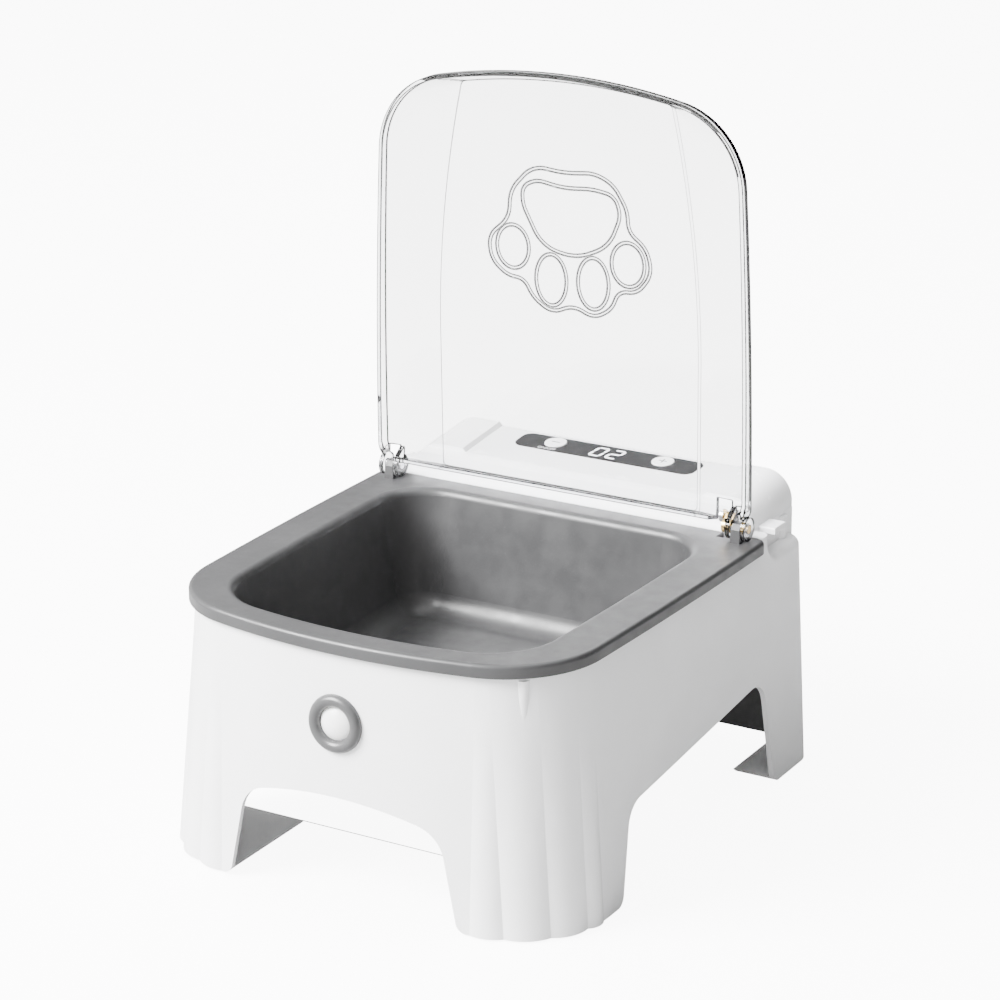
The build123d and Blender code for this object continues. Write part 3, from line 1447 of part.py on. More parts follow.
def motor_pinion():
    """Small gear on the motor shaft."""
    _, _, _, centre = train_centres()
    low = LAYER_A - 2 * (STAGE_GAP + FACE_WIDTH) - PIN_GAP
    span = (low, low + FACE_WIDTH + 2 * PIN_GAP)
    pinion = gear(PINION_TEETH, 90 + 180 / PINION_TEETH, centre, span)
    return pinion - rod_x((low - 1, span[1] + 1), centre.X, centre.Y, SHAFT_R)


def motor_shaft():
    """Steel shaft from inside the motor through the pinion."""
    _, _, _, centre = train_centres()
    low = LAYER_A - 2 * (STAGE_GAP + FACE_WIDTH)
    return rod_x((FRAME_INNER - MOTOR_LENGTH / 2, low + FACE_WIDTH + 1), centre.X, centre.Y, SHAFT_R)


def motor():
    """Round can motor against the frame, with a front boss and two terminals."""
    _, _, _, centre = train_centres()
    y, z = centre.X, centre.Y
    face = FRAME_INNER
    can = rod_x((face - MOTOR_LENGTH, face), y, z, MOTOR_R)
    can = fillet(can.faces().sort_by(Axis.X)[0].edges(), 2)
    can += rod_x((face, face + MOTOR_BOSS), y, z, MOTOR_BOSS_R)
    for side in (-1, 1):
        tab_y = y + side * MOTOR_R / 2
        rear = face - MOTOR_LENGTH
        can += block((rear - 3, rear + 1), (tab_y - 0.4, tab_y + 0.4), (z - 1.2, z + 1.2))
    bore_low = face - MOTOR_LENGTH / 2 - 1
    return can - rod_x((bore_low, face + MOTOR_BOSS + 1), y, z, SHAFT_R + PIN_GAP)


def frame_plate(x_span):
    """Side plate of the gear frame, with a bearing for the output shaft and axle holes."""
    output, stage_two, stage_one, drive = train_centres()
    low_z = drive.Y - MOTOR_R
    top_z = output.Y + FRAME_TOP
    front = output.X - FRAME_FRONT
    rear = stage_two.X + MODULE * (WHEEL_TEETH + 2) / 2 + FRAME_MARGIN
    plate = side_profile(
        [
            (front, low_z),
            (rear, low_z),
            (rear, stage_two.Y),
            (output.X + FRAME_FRONT, top_z),
            (front, top_z),
        ],
        x_span,
    )
    span = (x_span[0] - 1, x_span[1] + 1)
    plate -= rod_x(span, output.X, output.Y, OUTPUT_SHAFT_R + PIN_GAP)
    for axis in (stage_two, stage_one):
        plate -= rod_x(span, axis.X, axis.Y, AXLE_R)
    return plate


def cover_screw_places():
    """Screws that join the two halves of the gear frame: (y, z)."""
    _, stage_two, _, drive = train_centres()
    rear = stage_two.X + MODULE * (WHEEL_TEETH + 2) / 2 + FRAME_MARGIN - WEB / 2
    low = drive.Y - MOTOR_R + WEB / 2
    return [(rear, low + 3), (rear, stage_two.Y - 8), (OUTPUT_Y - FRAME_FRONT + 3, low)]


def gear_frame():
    """Frame half on the motor's side, with webs across and a flange under the deck."""
    output, stage_two, _, drive = train_centres()
    inner = FRAME_INNER
    frame = frame_plate((inner, inner + FRAME_SHEET))
    frame -= rod_x((inner - 1, inner + FRAME_SHEET + 1), drive.X, drive.Y, MOTOR_BOSS_R)
    rear = stage_two.X + MODULE * (WHEEL_TEETH + 2) / 2 + FRAME_MARGIN
    low_z = drive.Y - MOTOR_R
    x_span = (inner, FRAME_OUTER)
    frame += block(x_span, (rear - WEB, rear), (low_z, stage_two.Y))
    frame += block(x_span, (output.X - FRAME_FRONT, rear), (low_z, low_z + WEB))
    flange = block(
        (FRAME_SCREW_X - FLANGE_EDGE, inner),
        (FRAME_SCREW_FRONT - FLANGE_EDGE, FRAME_SCREW_REAR + FLANGE_EDGE),
        (DECK_Z - WALL - FLANGE_SHEET, DECK_Z - WALL),
    )
    frame += flange
    for x, y in frame_screw_places():
        frame -= rod_z(x, y, (DECK_Z - 4 * WALL, DECK_Z), SCREW_R)
    for y, z in cover_screw_places():
        frame -= rod_x((FRAME_OUTER - SCREW_GRIP, FRAME_OUTER + 1), y, z, SMALL_SCREW_R)
    return frame


def gear_frame_cover():
    """Frame half on the crank's side."""
    plate = frame_plate((FRAME_OUTER, FRAME_OUTER + FRAME_SHEET))
    for y, z in cover_screw_places():
        plate -= rod_x((FRAME_OUTER - 1, FRAME_OUTER + FRAME_SHEET + 1), y, z, SMALL_SCREW_R)
    return plate


def gear_axles():
    """Two steel axles pressed into the frame."""
    _, stage_two, stage_one, _ = train_centres()
    span = (FRAME_INNER, FRAME_OUTER + FRAME_SHEET)
    return [rod_x(span, axis.X, axis.Y, AXLE_R) for axis in (stage_two, stage_one)]


def frame_screws():
    """Screws of the frame's flange and of its outer half."""
    low = DECK_Z - WALL - FLANGE_SHEET
    grip = FLANGE_SHEET + WALL + FRAME_BOSS - 1
    screws = [Pos(x, y, low) * screw(SCREW_R, grip) for x, y in frame_screw_places()]
    outside = FRAME_OUTER + FRAME_SHEET
    for y, z in cover_screw_places():
        shank = rod_x((outside - SCREW_GRIP, outside), y, z, SMALL_SCREW_R)
        screws.append(shank + rod_x((outside, outside + SMALL_HEAD), y, z, SMALL_HEAD_R))
    return screws


def crank_end(centre):
    """Place of a crank pin at rest, about a (y, z) centre."""
    return about(CRANK_REST, CRANK_RADIUS, centre)


def crank_arm(x_span, centre, hub_r):
    """Arm from a hub to the boss of its crank pin."""
    end = crank_end(centre)
    arm = rod_x(x_span, centre.X, centre.Y, hub_r)
    arm += rod_x(x_span, end.X, end.Y, CRANK_BOSS_R)
    low, high = x_span
    middle = (centre + end) / 2
    bar = Pos((low + high) / 2, middle.X, middle.Y) * Rot(CRANK_REST, 0, 0)
    return arm + bar * Box(high - low, CRANK_RADIUS, 2 * CRANK_BOSS_R)


def output_crank():
    """Steel output shaft with its crank arm and crank pin."""
    centre, _, _, _ = train_centres()
    arm_span = (CRANK_ARM_X, CRANK_ARM_X + HUB_WIDTH)
    crank = crank_arm(arm_span, centre, HUB_R)
    crank += rod_x((FRAME_INNER + 0.6, arm_span[0]), centre.X, centre.Y, OUTPUT_SHAFT_R)
    end = crank_end(centre)
    pin_end = LINK_X + LINK_SHEET / 2 + PIN_OVERRUN
    return crank + rod_x((arm_span[1], pin_end), end.X, end.Y, CRANK_PIN_R)


def drive_pin():
    """Brass pin of the right hinge, fixed in the lid, with the crank that the link pushes."""
    hinge = Vector(HINGE_Y, HINGE_Z)
    inner_span, outer_span = cheek_spans()
    hub_span = (inner_span[0] - HUB_WIDTH, inner_span[0])
    pin = crank_arm(hub_span, hinge, HUB_R)
    pin += rod_x((inner_span[0], outer_span[1]), HINGE_Y, HINGE_Z, PIN_R)
    end = crank_end(hinge)
    pin_start = LINK_X - LINK_SHEET / 2 - PIN_OVERRUN
    pin += rod_x((pin_start, hub_span[0]), end.X, end.Y, CRANK_PIN_R)
    return pin


def hinge_pin():
    """Plain steel pin of the left hinge, fixed in the lid."""
    inner_span, outer_span = cheek_spans()
    return rod_x((-outer_span[1], -inner_span[0]), HINGE_Y, HINGE_Z, PIN_R)


def drive_link():
    """Steel link: an eye on the output crank and an open hook under the lid's crank pin."""
    hook = crank_end(Vector(HINGE_Y, HINGE_Z))
    eye = crank_end(Vector(OUTPUT_Y, OUTPUT_Z))
    half = LINK_SHEET / 2
    x_span = (LINK_X - half, LINK_X + half)
    cut = (x_span[0] - 1, x_span[1] + 1)
    line = eye - hook
    tilt = degrees(atan2(line.Y, line.X))
    middle = (hook + eye) / 2
    link = Pos(LINK_X, middle.X, middle.Y) * Rot(tilt, 0, 0) * Box(LINK_SHEET, line.length, LINK_HEIGHT)
    for end in (hook, eye):
        link += rod_x(x_span, end.X, end.Y, LINK_EYE_R)
    link -= rod_x(cut, eye.X, eye.Y, CRANK_PIN_R + PIN_GAP)
    slot = CRANK_PIN_R + HOOK_GAP
    link -= rod_x(cut, hook.X, hook.Y, slot)
    link -= block(cut, (hook.X - slot, hook.X + slot), (hook.Y, hook.Y + 2 * LINK_EYE_R))
    return link


# ---------------------------------------------------------------- wires inside the housing
def route(points):
    """Path of straight runs and arcs, each arc as large as its two runs allow."""
    radii = []
    for before, here, after in zip(points, points[1:], points[2:]):
        turn = radians((here - before).get_angle(after - here))
        run = min((here - before).length, (after - here).length)
        radii.append(0.45 * run / tan(turn / 2))
    return FilletPolyline(*points, radius=radii), radii


def wire(name, points):
    """Insulated lead swept along its route."""
    path, radii = route([Vector(*point) for point in points])
    section = Plane(path @ 0, z_dir=path % 0) * Circle(WIRE_R)
    lead = sweep(section, path)
    expected = pi * WIRE_R**2 * path.length
    print(name, "length", round(path.length), "radii", [round(radius) for radius in radii])
    print(name, "volume over section times length", round(lead.volume / expected, 3))
    return lead


def board_lead(x, y, down):
    """Point under the control board, square below a place in the label's frame."""
    place = control_frame() * Pos(x, y, -BOARD_DEPTH - BOARD_SHEET - down)
    return place.position


def motor_wire():
    """Lead from the back of the motor up to the control board."""
    _, _, _, centre = train_centres()
    y, z = centre.X, centre.Y
    rear = FRAME_INNER - MOTOR_LENGTH
    top = board_lead(MOTOR_LEAD_X, BOARD_MID, 0)
    return wire(
        "motor_wire",
        [
            (rear, y, z),
            (rear - 14, y, z),
            (rear - 23, y + 2, z + 9),
            (rear - 22, y + 4, z + 25),
            board_lead(MOTOR_LEAD_X, BOARD_MID, 12),
            top,
        ],
    )


def battery_wire():
    """Lead from the battery box up to the control board."""
    roof = cell_z() + CELL_R + CELL_GAP + BATTERY_WALL
    x = BATTERY_LEAD_X
    return wire(
        "battery_wire",
        [
            (x, BATTERY_Y, roof),
            (x, BATTERY_Y, roof + 18),
            (x + 4, BATTERY_Y - 2, roof + 42),
            (x + 3, BATTERY_Y - 3, roof + 66),
            board_lead(x, BOARD_MID - 3, SOCKET_SIZE),
            board_lead(x, BOARD_MID - 3, 0),
        ],
    )


def socket_wire():
    """Lead from the power socket up to the control board."""
    x, z = SOCKET_X, SOCKET_Z
    front = SHELL_REAR - SOCKET_DEPTH
    return wire(
        "socket_wire",
        [
            (x, front, z),
            (x, front - 12, z),
            (x + 2, front - 20, z + 10),
            (x + 7, front - 20, z + 28),
            (x + 14, front - 15, z + 50),
            board_lead(SOCKET_LEAD_X, BOARD_MID, 10),
            board_lead(SOCKET_LEAD_X, BOARD_MID, 0),
        ],
    )


def sensor_wire():
    """Lead from the control board, round the side of the bowl, to the motion sensor."""
    side = POST_MID_X - BOSS_R - LEAD_SIDE_GAP
    z = SENSOR_Z
    plug = sensor_frame() * Pos(-SENSOR_PLUG / 2 - SENSOR_PLUG_X, 0, -2 * WALL - SENSOR_PLUG)
    end = plug.position
    return wire(
        "sensor_wire",
        [
            board_lead(SENSOR_LEAD_X, BOARD_MID - 6, 0),
            board_lead(SENSOR_LEAD_X, BOARD_MID - 6, 14),
            (SENSOR_LEAD_X - 13, DECK_FRONT + 20, z + 19),
            (-side + 17, DECK_FRONT + 9, z + 11),
            (-side + 4, DECK_FRONT - 7, z + 8),
            (-side, DECK_FRONT - 32, z + 6),
            (-side - 1, DECK_FRONT - 72, z + 4),
            (-side - 1, DECK_FRONT - 112, z + 3),
            (-side, DECK_FRONT - 152, z + 2),
            (-side + 5, DECK_FRONT - 182, z + 1),
            (-side + 22, DECK_FRONT - 202, z + 0.6),
            (-side + 46, end.Y + 0.4, end.Z),
            (-side + 62, end.Y, end.Z),
            end,
        ],
    )


# ---------------------------------------------------------------- all pieces
def pieces():
    """Every node of the part, by name."""
    return {
        "housing_shell": housing_shell(),
        "base_cover": base_cover(),
        "control_hood": control_hood(),
        "deck_clips": deck_clips(),
        "label_panel": label_panel(),
        "minus_key": key(-1),
        "plus_key": key(1),
        "minus_plunger": plunger(-1),
        "plus_plunger": plunger(1),
        "tact_switches": tact_switches(),
        "display_module": display_module(),
        "control_board": control_board(),
        "sensor_ring": sensor_ring(),
        "sensor_lens": sensor_lens(),
        "sensor_board": sensor_board(),
        "bowl": bowl(),
        "hinge_lug_left": hinge_lug(-1),
        "hinge_lug_right": hinge_lug(1),
        "lid": lid(),
        "hinge_pin": hinge_pin(),
        "drive_pin": drive_pin(),
        "drive_link": drive_link(),
        "output_crank": output_crank(),
        "output_gear": output_gear(),
        "gear_stage_two": gear_stage_two(),
        "gear_stage_one": gear_stage_one(),
        "motor_pinion": motor_pinion(),
        "motor_shaft": motor_shaft(),
        "motor": motor(),
        "gear_frame": gear_frame(),
        "gear_frame_cover": gear_frame_cover(),
        "gear_axles": gear_axles(),
        "battery_door": battery_door(),
        "battery_cells": battery_cells(),
        "battery_contacts": battery_contacts(),
        "power_socket": power_socket(),
        "rubber_feet": rubber_feet(),
        "base_screws": base_screws(),
        "hood_screws": hood_screws(),
        "frame_screws": frame_screws(),
        "board_screws": board_screws(),
        "motor_wire": motor_wire(),
        "battery_wire": battery_wire(),
        "socket_wire": socket_wire(),
        "sensor_wire": sensor_wire(),
    }


def export_pieces():
    """Write each node to parts/ as a STEP file."""
    os.makedirs("parts", exist_ok=True)
    for name, shape in pieces().items():
        solids = shape if isinstance(shape, list) else shape.solids()
        node = solids[0] if len(solids) == 1 else Compound(children=solids)
        export_step(node, "parts/" + name + ".step")
        box = node.bounding_box()
        print(name, len(solids), round(node.volume), box.min, box.max)


if __name__ == "__main__":
    export_pieces()
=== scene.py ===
"""Looks of an automatic pet feeder: clear powered lid, grey lift-out bowl, white housing.

Metres, +Z up, the front of the feeder towards -Y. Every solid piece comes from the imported
model; this script gives each one its material, prints the key panel and sets the studio.
"""

import math

import bpy
import numpy as np
from mathutils import Matrix, Vector


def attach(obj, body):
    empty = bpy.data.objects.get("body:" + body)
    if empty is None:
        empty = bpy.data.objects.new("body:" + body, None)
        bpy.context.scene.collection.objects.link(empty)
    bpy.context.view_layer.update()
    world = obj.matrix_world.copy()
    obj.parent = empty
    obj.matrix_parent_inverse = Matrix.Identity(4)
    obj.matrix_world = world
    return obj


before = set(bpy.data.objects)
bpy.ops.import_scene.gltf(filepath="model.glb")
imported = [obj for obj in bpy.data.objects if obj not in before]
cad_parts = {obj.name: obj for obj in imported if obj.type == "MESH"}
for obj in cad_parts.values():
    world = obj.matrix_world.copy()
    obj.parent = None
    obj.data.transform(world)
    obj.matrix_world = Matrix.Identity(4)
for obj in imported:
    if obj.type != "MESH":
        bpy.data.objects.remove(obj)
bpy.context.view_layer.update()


# ---------------------------------------------------------------- housing shell
# White moulded ABS body: four legs, a shelf for the bowl and a deck for the hood.
# Injection moulded in one piece, with a soft sheen and a very fine, even grain.
def new_material(name):
    """A material with a Principled shader: returns it, its tree and the shader."""
    material = bpy.data.materials.new(name)
    material.use_nodes = True
    tree = material.node_tree
    return material, tree, tree.nodes["Principled BSDF"]


def noise(tree, size, detail=3.0, stretch=(1.0, 1.0, 1.0)):
    """Noise over the object's own coordinates whose features are about size metres across."""
    coords = tree.nodes.new("ShaderNodeTexCoord")
    mapping = tree.nodes.new("ShaderNodeMapping")
    mapping.inputs["Scale"].default_value = stretch
    texture = tree.nodes.new("ShaderNodeTexNoise")
    texture.inputs["Scale"].default_value = 1.0 / size
    texture.inputs["Detail"].default_value = detail
    tree.links.new(coords.outputs["Object"], mapping.inputs["Vector"])
    tree.links.new(mapping.outputs["Vector"], texture.inputs["Vector"])
    return texture.outputs["Fac"]


NOISE_MIDDLE = (0.35, 0.65)


def spread(tree, value, low, high):
    """The middle of a noise's range, where nearly all of it lies, stretched from low to high."""
    ranged = tree.nodes.new("ShaderNodeMapRange")
    ranged.inputs["From Min"].default_value = NOISE_MIDDLE[0]
    ranged.inputs["From Max"].default_value = NOISE_MIDDLE[1]
    ranged.inputs["To Min"].default_value = low
    ranged.inputs["To Max"].default_value = high
    tree.links.new(value, ranged.inputs["Value"])
    return ranged.outputs["Result"]


def shade(tree, shader, value, dark, light):
    """Base colour that runs from dark to light with a value. Returns the mixing node."""
    mix = tree.nodes.new("ShaderNodeMix")
    mix.data_type = "RGBA"
    mix.inputs["A"].default_value = (*dark, 1.0)
    mix.inputs["B"].default_value = (*light, 1.0)
    tree.links.new(spread(tree, value, 0.0, 1.0), mix.inputs["Factor"])
    tree.links.new(mix.outputs["Result"], shader.inputs["Base Color"])
    return mix


def relief(tree, shader, value, depth):
    """Bump of a real depth in metres from a value."""
    bump = tree.nodes.new("ShaderNodeBump")
    bump.inputs["Distance"].default_value = depth
    tree.links.new(value, bump.inputs["Height"])
    tree.links.new(bump.outputs["Normal"], shader.inputs["Normal"])


COLOUR_DRIFT = 0.045
SHEEN_PATCH = 0.012
PLASTIC_IOR = 1.5


def moulded(name, dark, light, gloss, grain, depth):
    """Moulded plastic: colour that drifts a little, uneven sheen and a fine grain.
    gloss is the lowest and highest roughness; grain is the grain's size and depth its height."""
    material, tree, shader = new_material(name)
    shade(tree, shader, noise(tree, COLOUR_DRIFT, 4.0), dark, light)
    sheen = spread(tree, noise(tree, SHEEN_PATCH, 5.0), gloss[0], gloss[1])
    tree.links.new(sheen, shader.inputs["Roughness"])
    relief(tree, shader, noise(tree, grain, 6.0), depth)
    shader.inputs["IOR"].default_value = PLASTIC_IOR
    return material


def finish_with(material, *names):
    """Give carried-over pieces a material in every slot."""
    for name in names:
        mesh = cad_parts[name].data
        mesh.materials.clear()
        mesh.materials.append(material)


WHITE_DARK = (0.80, 0.80, 0.805)
WHITE_LIGHT = (0.84, 0.84, 0.845)
white_abs = moulded("white_abs", WHITE_DARK, WHITE_LIGHT, (0.30, 0.40), 0.0006, 0.00002)
finish_with(white_abs, "housing_shell")


# ---------------------------------------------------------------- control hood and catches
# White cover over the drive and the electronics, screwed down from under the deck.
# Moulded like the body, a little glossier; the two catches at its ends are the same white.
white_gloss = moulded("white_gloss", WHITE_DARK, WHITE_LIGHT, (0.20, 0.28), 0.0009, 0.00001)
finish_with(white_gloss, "control_hood", "deck_clips")


# ---------------------------------------------------------------- base cover and battery door
# Black plate under the bowl that steps down to the battery box, with a screwed-on door.
# Moulded in black ABS with a coarse spark-eroded texture that hides scuffs.
black_abs = moulded(
    "black_abs", (0.030, 0.030, 0.031), (0.045, 0.045, 0.047), (0.48, 0.62), 0.0011, 0.00006
)
finish_with(black_abs, "base_cover", "battery_door")


# ---------------------------------------------------------------- bowl and hinge lugs
# Grey lift-out tray that holds the food, with the two lugs that carry the lid.
# Injection moulded in polypropylene with a satin surface that wipes clean.
grey_satin = moulded(
    "grey_satin", (0.030, 0.030, 0.031), (0.037, 0.037, 0.038), (0.34, 0.46), 0.0008, 0.00002
)
finish_with(grey_satin, "bowl", "hinge_lug_left", "hinge_lug_right")


# ---------------------------------------------------------------- lid
# Clear shallow cover with a raised middle and a paw outline moulded into it.
# Injection moulded in clear plastic, polished. Its edges, creases and ridges, and the parts seen
# edge-on, carry painted shade: near-black colour laid into the lid's colour, so they show as dark
# lines.
EDGE_RADIUS = 0.0009
EDGE_SAMPLES = 16
EDGE_TURN = (0.9993, 0.9975)
# Painted shade: the near-black colour laid into the lid at edges, creases and edge-on parts.
PAINTED_EDGE_SHADE = (0.0001, 0.0001, 0.0001)
GRAZING_SHADE = (0.72, 0.97)
LID_TINT = (0.985, 0.985, 0.985)
LID_GLOSS = (0.01, 0.03)
LID_IOR = 1.49
LID_RIPPLE = 0.035
LID_RIPPLE_DEPTH = 0.00012
SHADOW_TINT = (0.93, 0.93, 0.94, 1.0)
BODY_TINT = (0.52, 0.54, 0.56, 1.0)
BODY_DENSITY = 45.0


def edge_mask(tree, radius):
    """Near 1 within a radius of an edge or crease, and 0 on open faces: how far the normal
    rounded over that radius turns from the true one, by the cosine between the two."""
    rounded = tree.nodes.new("ShaderNodeBevel")
    rounded.samples = EDGE_SAMPLES
    rounded.inputs["Radius"].default_value = radius
    geometry = tree.nodes.new("ShaderNodeNewGeometry")
    alike = tree.nodes.new("ShaderNodeVectorMath")
    alike.operation = "DOT_PRODUCT"
    mask = tree.nodes.new("ShaderNodeMapRange")
    mask.inputs["From Min"].default_value = EDGE_TURN[0]
    mask.inputs["From Max"].default_value = EDGE_TURN[1]
    tree.links.new(rounded.outputs["Normal"], alike.inputs[0])
    tree.links.new(geometry.outputs["Normal"], alike.inputs[1])
    tree.links.new(alike.outputs["Value"], mask.inputs["Value"])
    return mask.outputs["Result"]


def clear_plastic(name):
    """Clear plastic that refracts, darkens with thickness, casts a light shadow and carries painted
    shade as dark lines at its edges and where it is seen edge-on.
    """
    material, tree, shader = new_material(name)
    tinted = shade(tree, shader, noise(tree, 0.06, 3.0), LID_TINT, (1.0, 1.0, 1.0))
    shader.inputs["Transmission Weight"].default_value = 1.0
    shader.inputs["IOR"].default_value = LID_IOR
    polish = spread(tree, noise(tree, 0.02, 4.0), LID_GLOSS[0], LID_GLOSS[1])
    tree.links.new(polish, shader.inputs["Roughness"])
    relief(tree, shader, noise(tree, LID_RIPPLE, 2.0), LID_RIPPLE_DEPTH)
    grazing = tree.nodes.new("ShaderNodeLayerWeight")
    grazing.inputs["Blend"].default_value = 0.5
    grazing_shade = tree.nodes.new("ShaderNodeMapRange")
    grazing_shade.inputs["From Min"].default_value = GRAZING_SHADE[0]
    grazing_shade.inputs["From Max"].default_value = GRAZING_SHADE[1]
    tree.links.new(grazing.outputs["Facing"], grazing_shade.inputs["Value"])
    edge = tree.nodes.new("ShaderNodeMath")
    edge.operation = "MAXIMUM"
    tree.links.new(edge_mask(tree, EDGE_RADIUS), edge.inputs[0])
    tree.links.new(grazing_shade.outputs["Result"], edge.inputs[1])
    # Painted shade: the lid's colour turns near black where the edge mask or the edge-on mask is
    # high.
    darker = tree.nodes.new("ShaderNodeMix")
    darker.data_type = "RGBA"
    darker.inputs["B"].default_value = (*PAINTED_EDGE_SHADE, 1.0)
    tree.links.new(edge.outputs["Value"], darker.inputs["Factor"])
    tree.links.new(tinted.outputs["Result"], darker.inputs["A"])
    tree.links.new(darker.outputs["Result"], shader.inputs["Base Color"])
    output = tree.nodes["Material Output"]
    through = tree.nodes.new("ShaderNodeBsdfTransparent")
    through.inputs["Color"].default_value = SHADOW_TINT
    rays = tree.nodes.new("ShaderNodeLightPath")
    mix = tree.nodes.new("ShaderNodeMixShader")
    tree.links.new(rays.outputs["Is Shadow Ray"], mix.inputs["Fac"])
    tree.links.new(shader.outputs["BSDF"], mix.inputs[1])
    tree.links.new(through.outputs["BSDF"], mix.inputs[2])
    tree.links.new(mix.outputs["Shader"], output.inputs["Surface"])
    body = tree.nodes.new("ShaderNodeVolumeAbsorption")
    body.inputs["Color"].default_value = BODY_TINT
    body.inputs["Density"].default_value = BODY_DENSITY
    tree.links.new(body.outputs["Volume"], output.inputs["Volume"])
    return material


lid_clear = clear_plastic("lid_clear")
finish_with(lid_clear, "lid")


# ---------------------------------------------------------------- motion sensor
# Grey bezel clipped round a milky dome lens in the front wall, and the board behind it.
# The lens is pressed polyethylene that scatters light; the bezel is satin ABS.
bezel_grey = moulded(
    "bezel_grey", (0.045, 0.045, 0.046), (0.056, 0.056, 0.057), (0.28, 0.38), 0.0007, 0.00002
)
finish_with(bezel_grey, "sensor_ring")


def milky(name, colour):
    """Milky moulded plastic that lets light sink in a little, with faint rings pressed into it."""
    material, tree, shader = new_material(name)
    shade(tree, shader, noise(tree, 0.004, 3.0), tuple(c * 0.96 for c in colour), colour)
    shader.inputs["Subsurface Weight"].default_value = 0.25
    shader.inputs["Subsurface Radius"].default_value = (0.0012, 0.0011, 0.001)
    shader.inputs["Subsurface Scale"].default_value = 1.0
    gloss = spread(tree, noise(tree, 0.003, 3.0), 0.28, 0.38)
    tree.links.new(gloss, shader.inputs["Roughness"])
    relief(tree, shader, noise(tree, 0.0012, 3.0), 0.00002)
    return material


lens_milky = milky("lens_milky", (0.84, 0.84, 0.83))
finish_with(lens_milky, "sensor_lens")


# ---------------------------------------------------------------- key panel
# Dark printed film in its pocket, with the lit figures that shine through it.
# Polyester film with a matt back print; the figures are two seven-bar digits.
PANEL_ORIGIN = Vector((0.0, 0.1165, 0.1457))
PANEL_SLOPE = math.radians(5.9)
PANEL_FACE = 0.0002
PRINT_SHEET = 0.00004
panel_seat = Matrix.Translation(PANEL_ORIGIN) @ Matrix.Rotation(PANEL_SLOPE, 4, "X")
film_grey = moulded(
    "film_grey", (0.006, 0.006, 0.0065), (0.009, 0.009, 0.0095), (0.46, 0.56), 0.0004, 0.00001
)
finish_with(film_grey, "label_panel")


def flat_pieces(name, outlines, height, material, body):
    """One mesh of thin flat prints: each outline is an (n, 2) array of corners in the panel's
    own frame, raised from height by the print's thickness and closed all round."""
    verts = []
    faces = []
    for outline in outlines:
        count = len(outline)
        first = sum(len(part) for part in verts)
        low = np.column_stack([outline, np.full(count, height)])
        high = np.column_stack([outline, np.full(count, height + PRINT_SHEET)])
        verts.append(np.vstack([low, high]))
        ring = np.arange(count)
        after = (ring + 1) % count
        sides = np.column_stack([ring, after, after + count, ring + count]) + first
        faces.append((ring[::-1] + first).tolist())
        faces.append((ring + count + first).tolist())
        faces.extend(sides.tolist())
    points = np.vstack(verts)
    seat = np.array(panel_seat)
    placed = points @ seat[:3, :3].T + seat[:3, 3]
    mesh = bpy.data.meshes.new(name)
    mesh.from_pydata(placed.tolist(), [], faces)
    mesh.materials.append(material)
    piece = bpy.data.objects.new(name, mesh)
    bpy.context.scene.collection.objects.link(piece)
    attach(piece, body)
    return piece


def glowing(name, colour, strength):
    """Lit print: a pale colour that glows, a little uneven along each bar."""
    material, tree, shader = new_material(name)
    shade(tree, shader, noise(tree, 0.002, 2.0), tuple(c * 0.92 for c in colour), colour)
    shader.inputs["Roughness"].default_value = 0.4
    shader.inputs["Emission Color"].default_value = (*colour, 1.0)
    glow = spread(tree, noise(tree, 0.003, 2.0), strength * 0.85, strength)
    tree.links.new(glow, shader.inputs["Emission Strength"])
    return material


DIGIT_HALF_WIDTH = 0.0029
DIGIT_HALF_HEIGHT = 0.0050
DIGIT_STROKE = 0.0013
DIGIT_MIDDLE = 0.0083
DIGIT_SHIFT = 0.0047
DIGIT_LEAN = 0.14
BAR_TIP = 0.12
BAR_NECK = 0.62
SEGMENT_ENDS = {
    "top": ((-1, 1), (1, 1)),
    "middle": ((-1, 0), (1, 0)),
    "bottom": ((-1, -1), (1, -1)),
    "upper_left": ((-1, 0), (-1, 1)),
    "upper_right": ((1, 0), (1, 1)),
    "lower_left": ((-1, -1), (-1, 0)),
    "lower_right": ((1, -1), (1, 0)),
}
ZERO = ("top", "bottom", "upper_left", "upper_right", "lower_left", "lower_right")
TWO = ("top", "middle", "bottom", "upper_right", "lower_left")


def digit(segments, centre_x):
    """Bars of one seven-bar digit: each a long hexagon between two corners of the digit's
    grid, with pointed ends, sheared so that the digit leans a little to the right."""
    bars = []
    size = np.array([DIGIT_HALF_WIDTH, DIGIT_HALF_HEIGHT])
    for segment in segments:
        start, end = (np.array(point) * size for point in SEGMENT_ENDS[segment])
        run = end - start
        along = run / np.linalg.norm(run)
        across = np.array([-along[1], along[0]]) * DIGIT_STROKE / 2
        tip = along * DIGIT_STROKE * BAR_TIP
        neck = along * DIGIT_STROKE * BAR_NECK
        corners = [start + tip, start + neck - across, end - neck - across]
        corners += [end - tip, end - neck + across, start + neck + across]
        bar = np.array(corners)
        bar[:, 0] += bar[:, 1] * DIGIT_LEAN + centre_x
        bar[:, 1] += DIGIT_MIDDLE
        bars.append(bar)
    return bars


lit_white = glowing("lit_white", (0.95, 0.96, 0.97), 1.6)
figures = digit(ZERO, -DIGIT_SHIFT) + digit(TWO, DIGIT_SHIFT)
flat_pieces("lit_figures", figures, PANEL_FACE, lit_white, "housing")


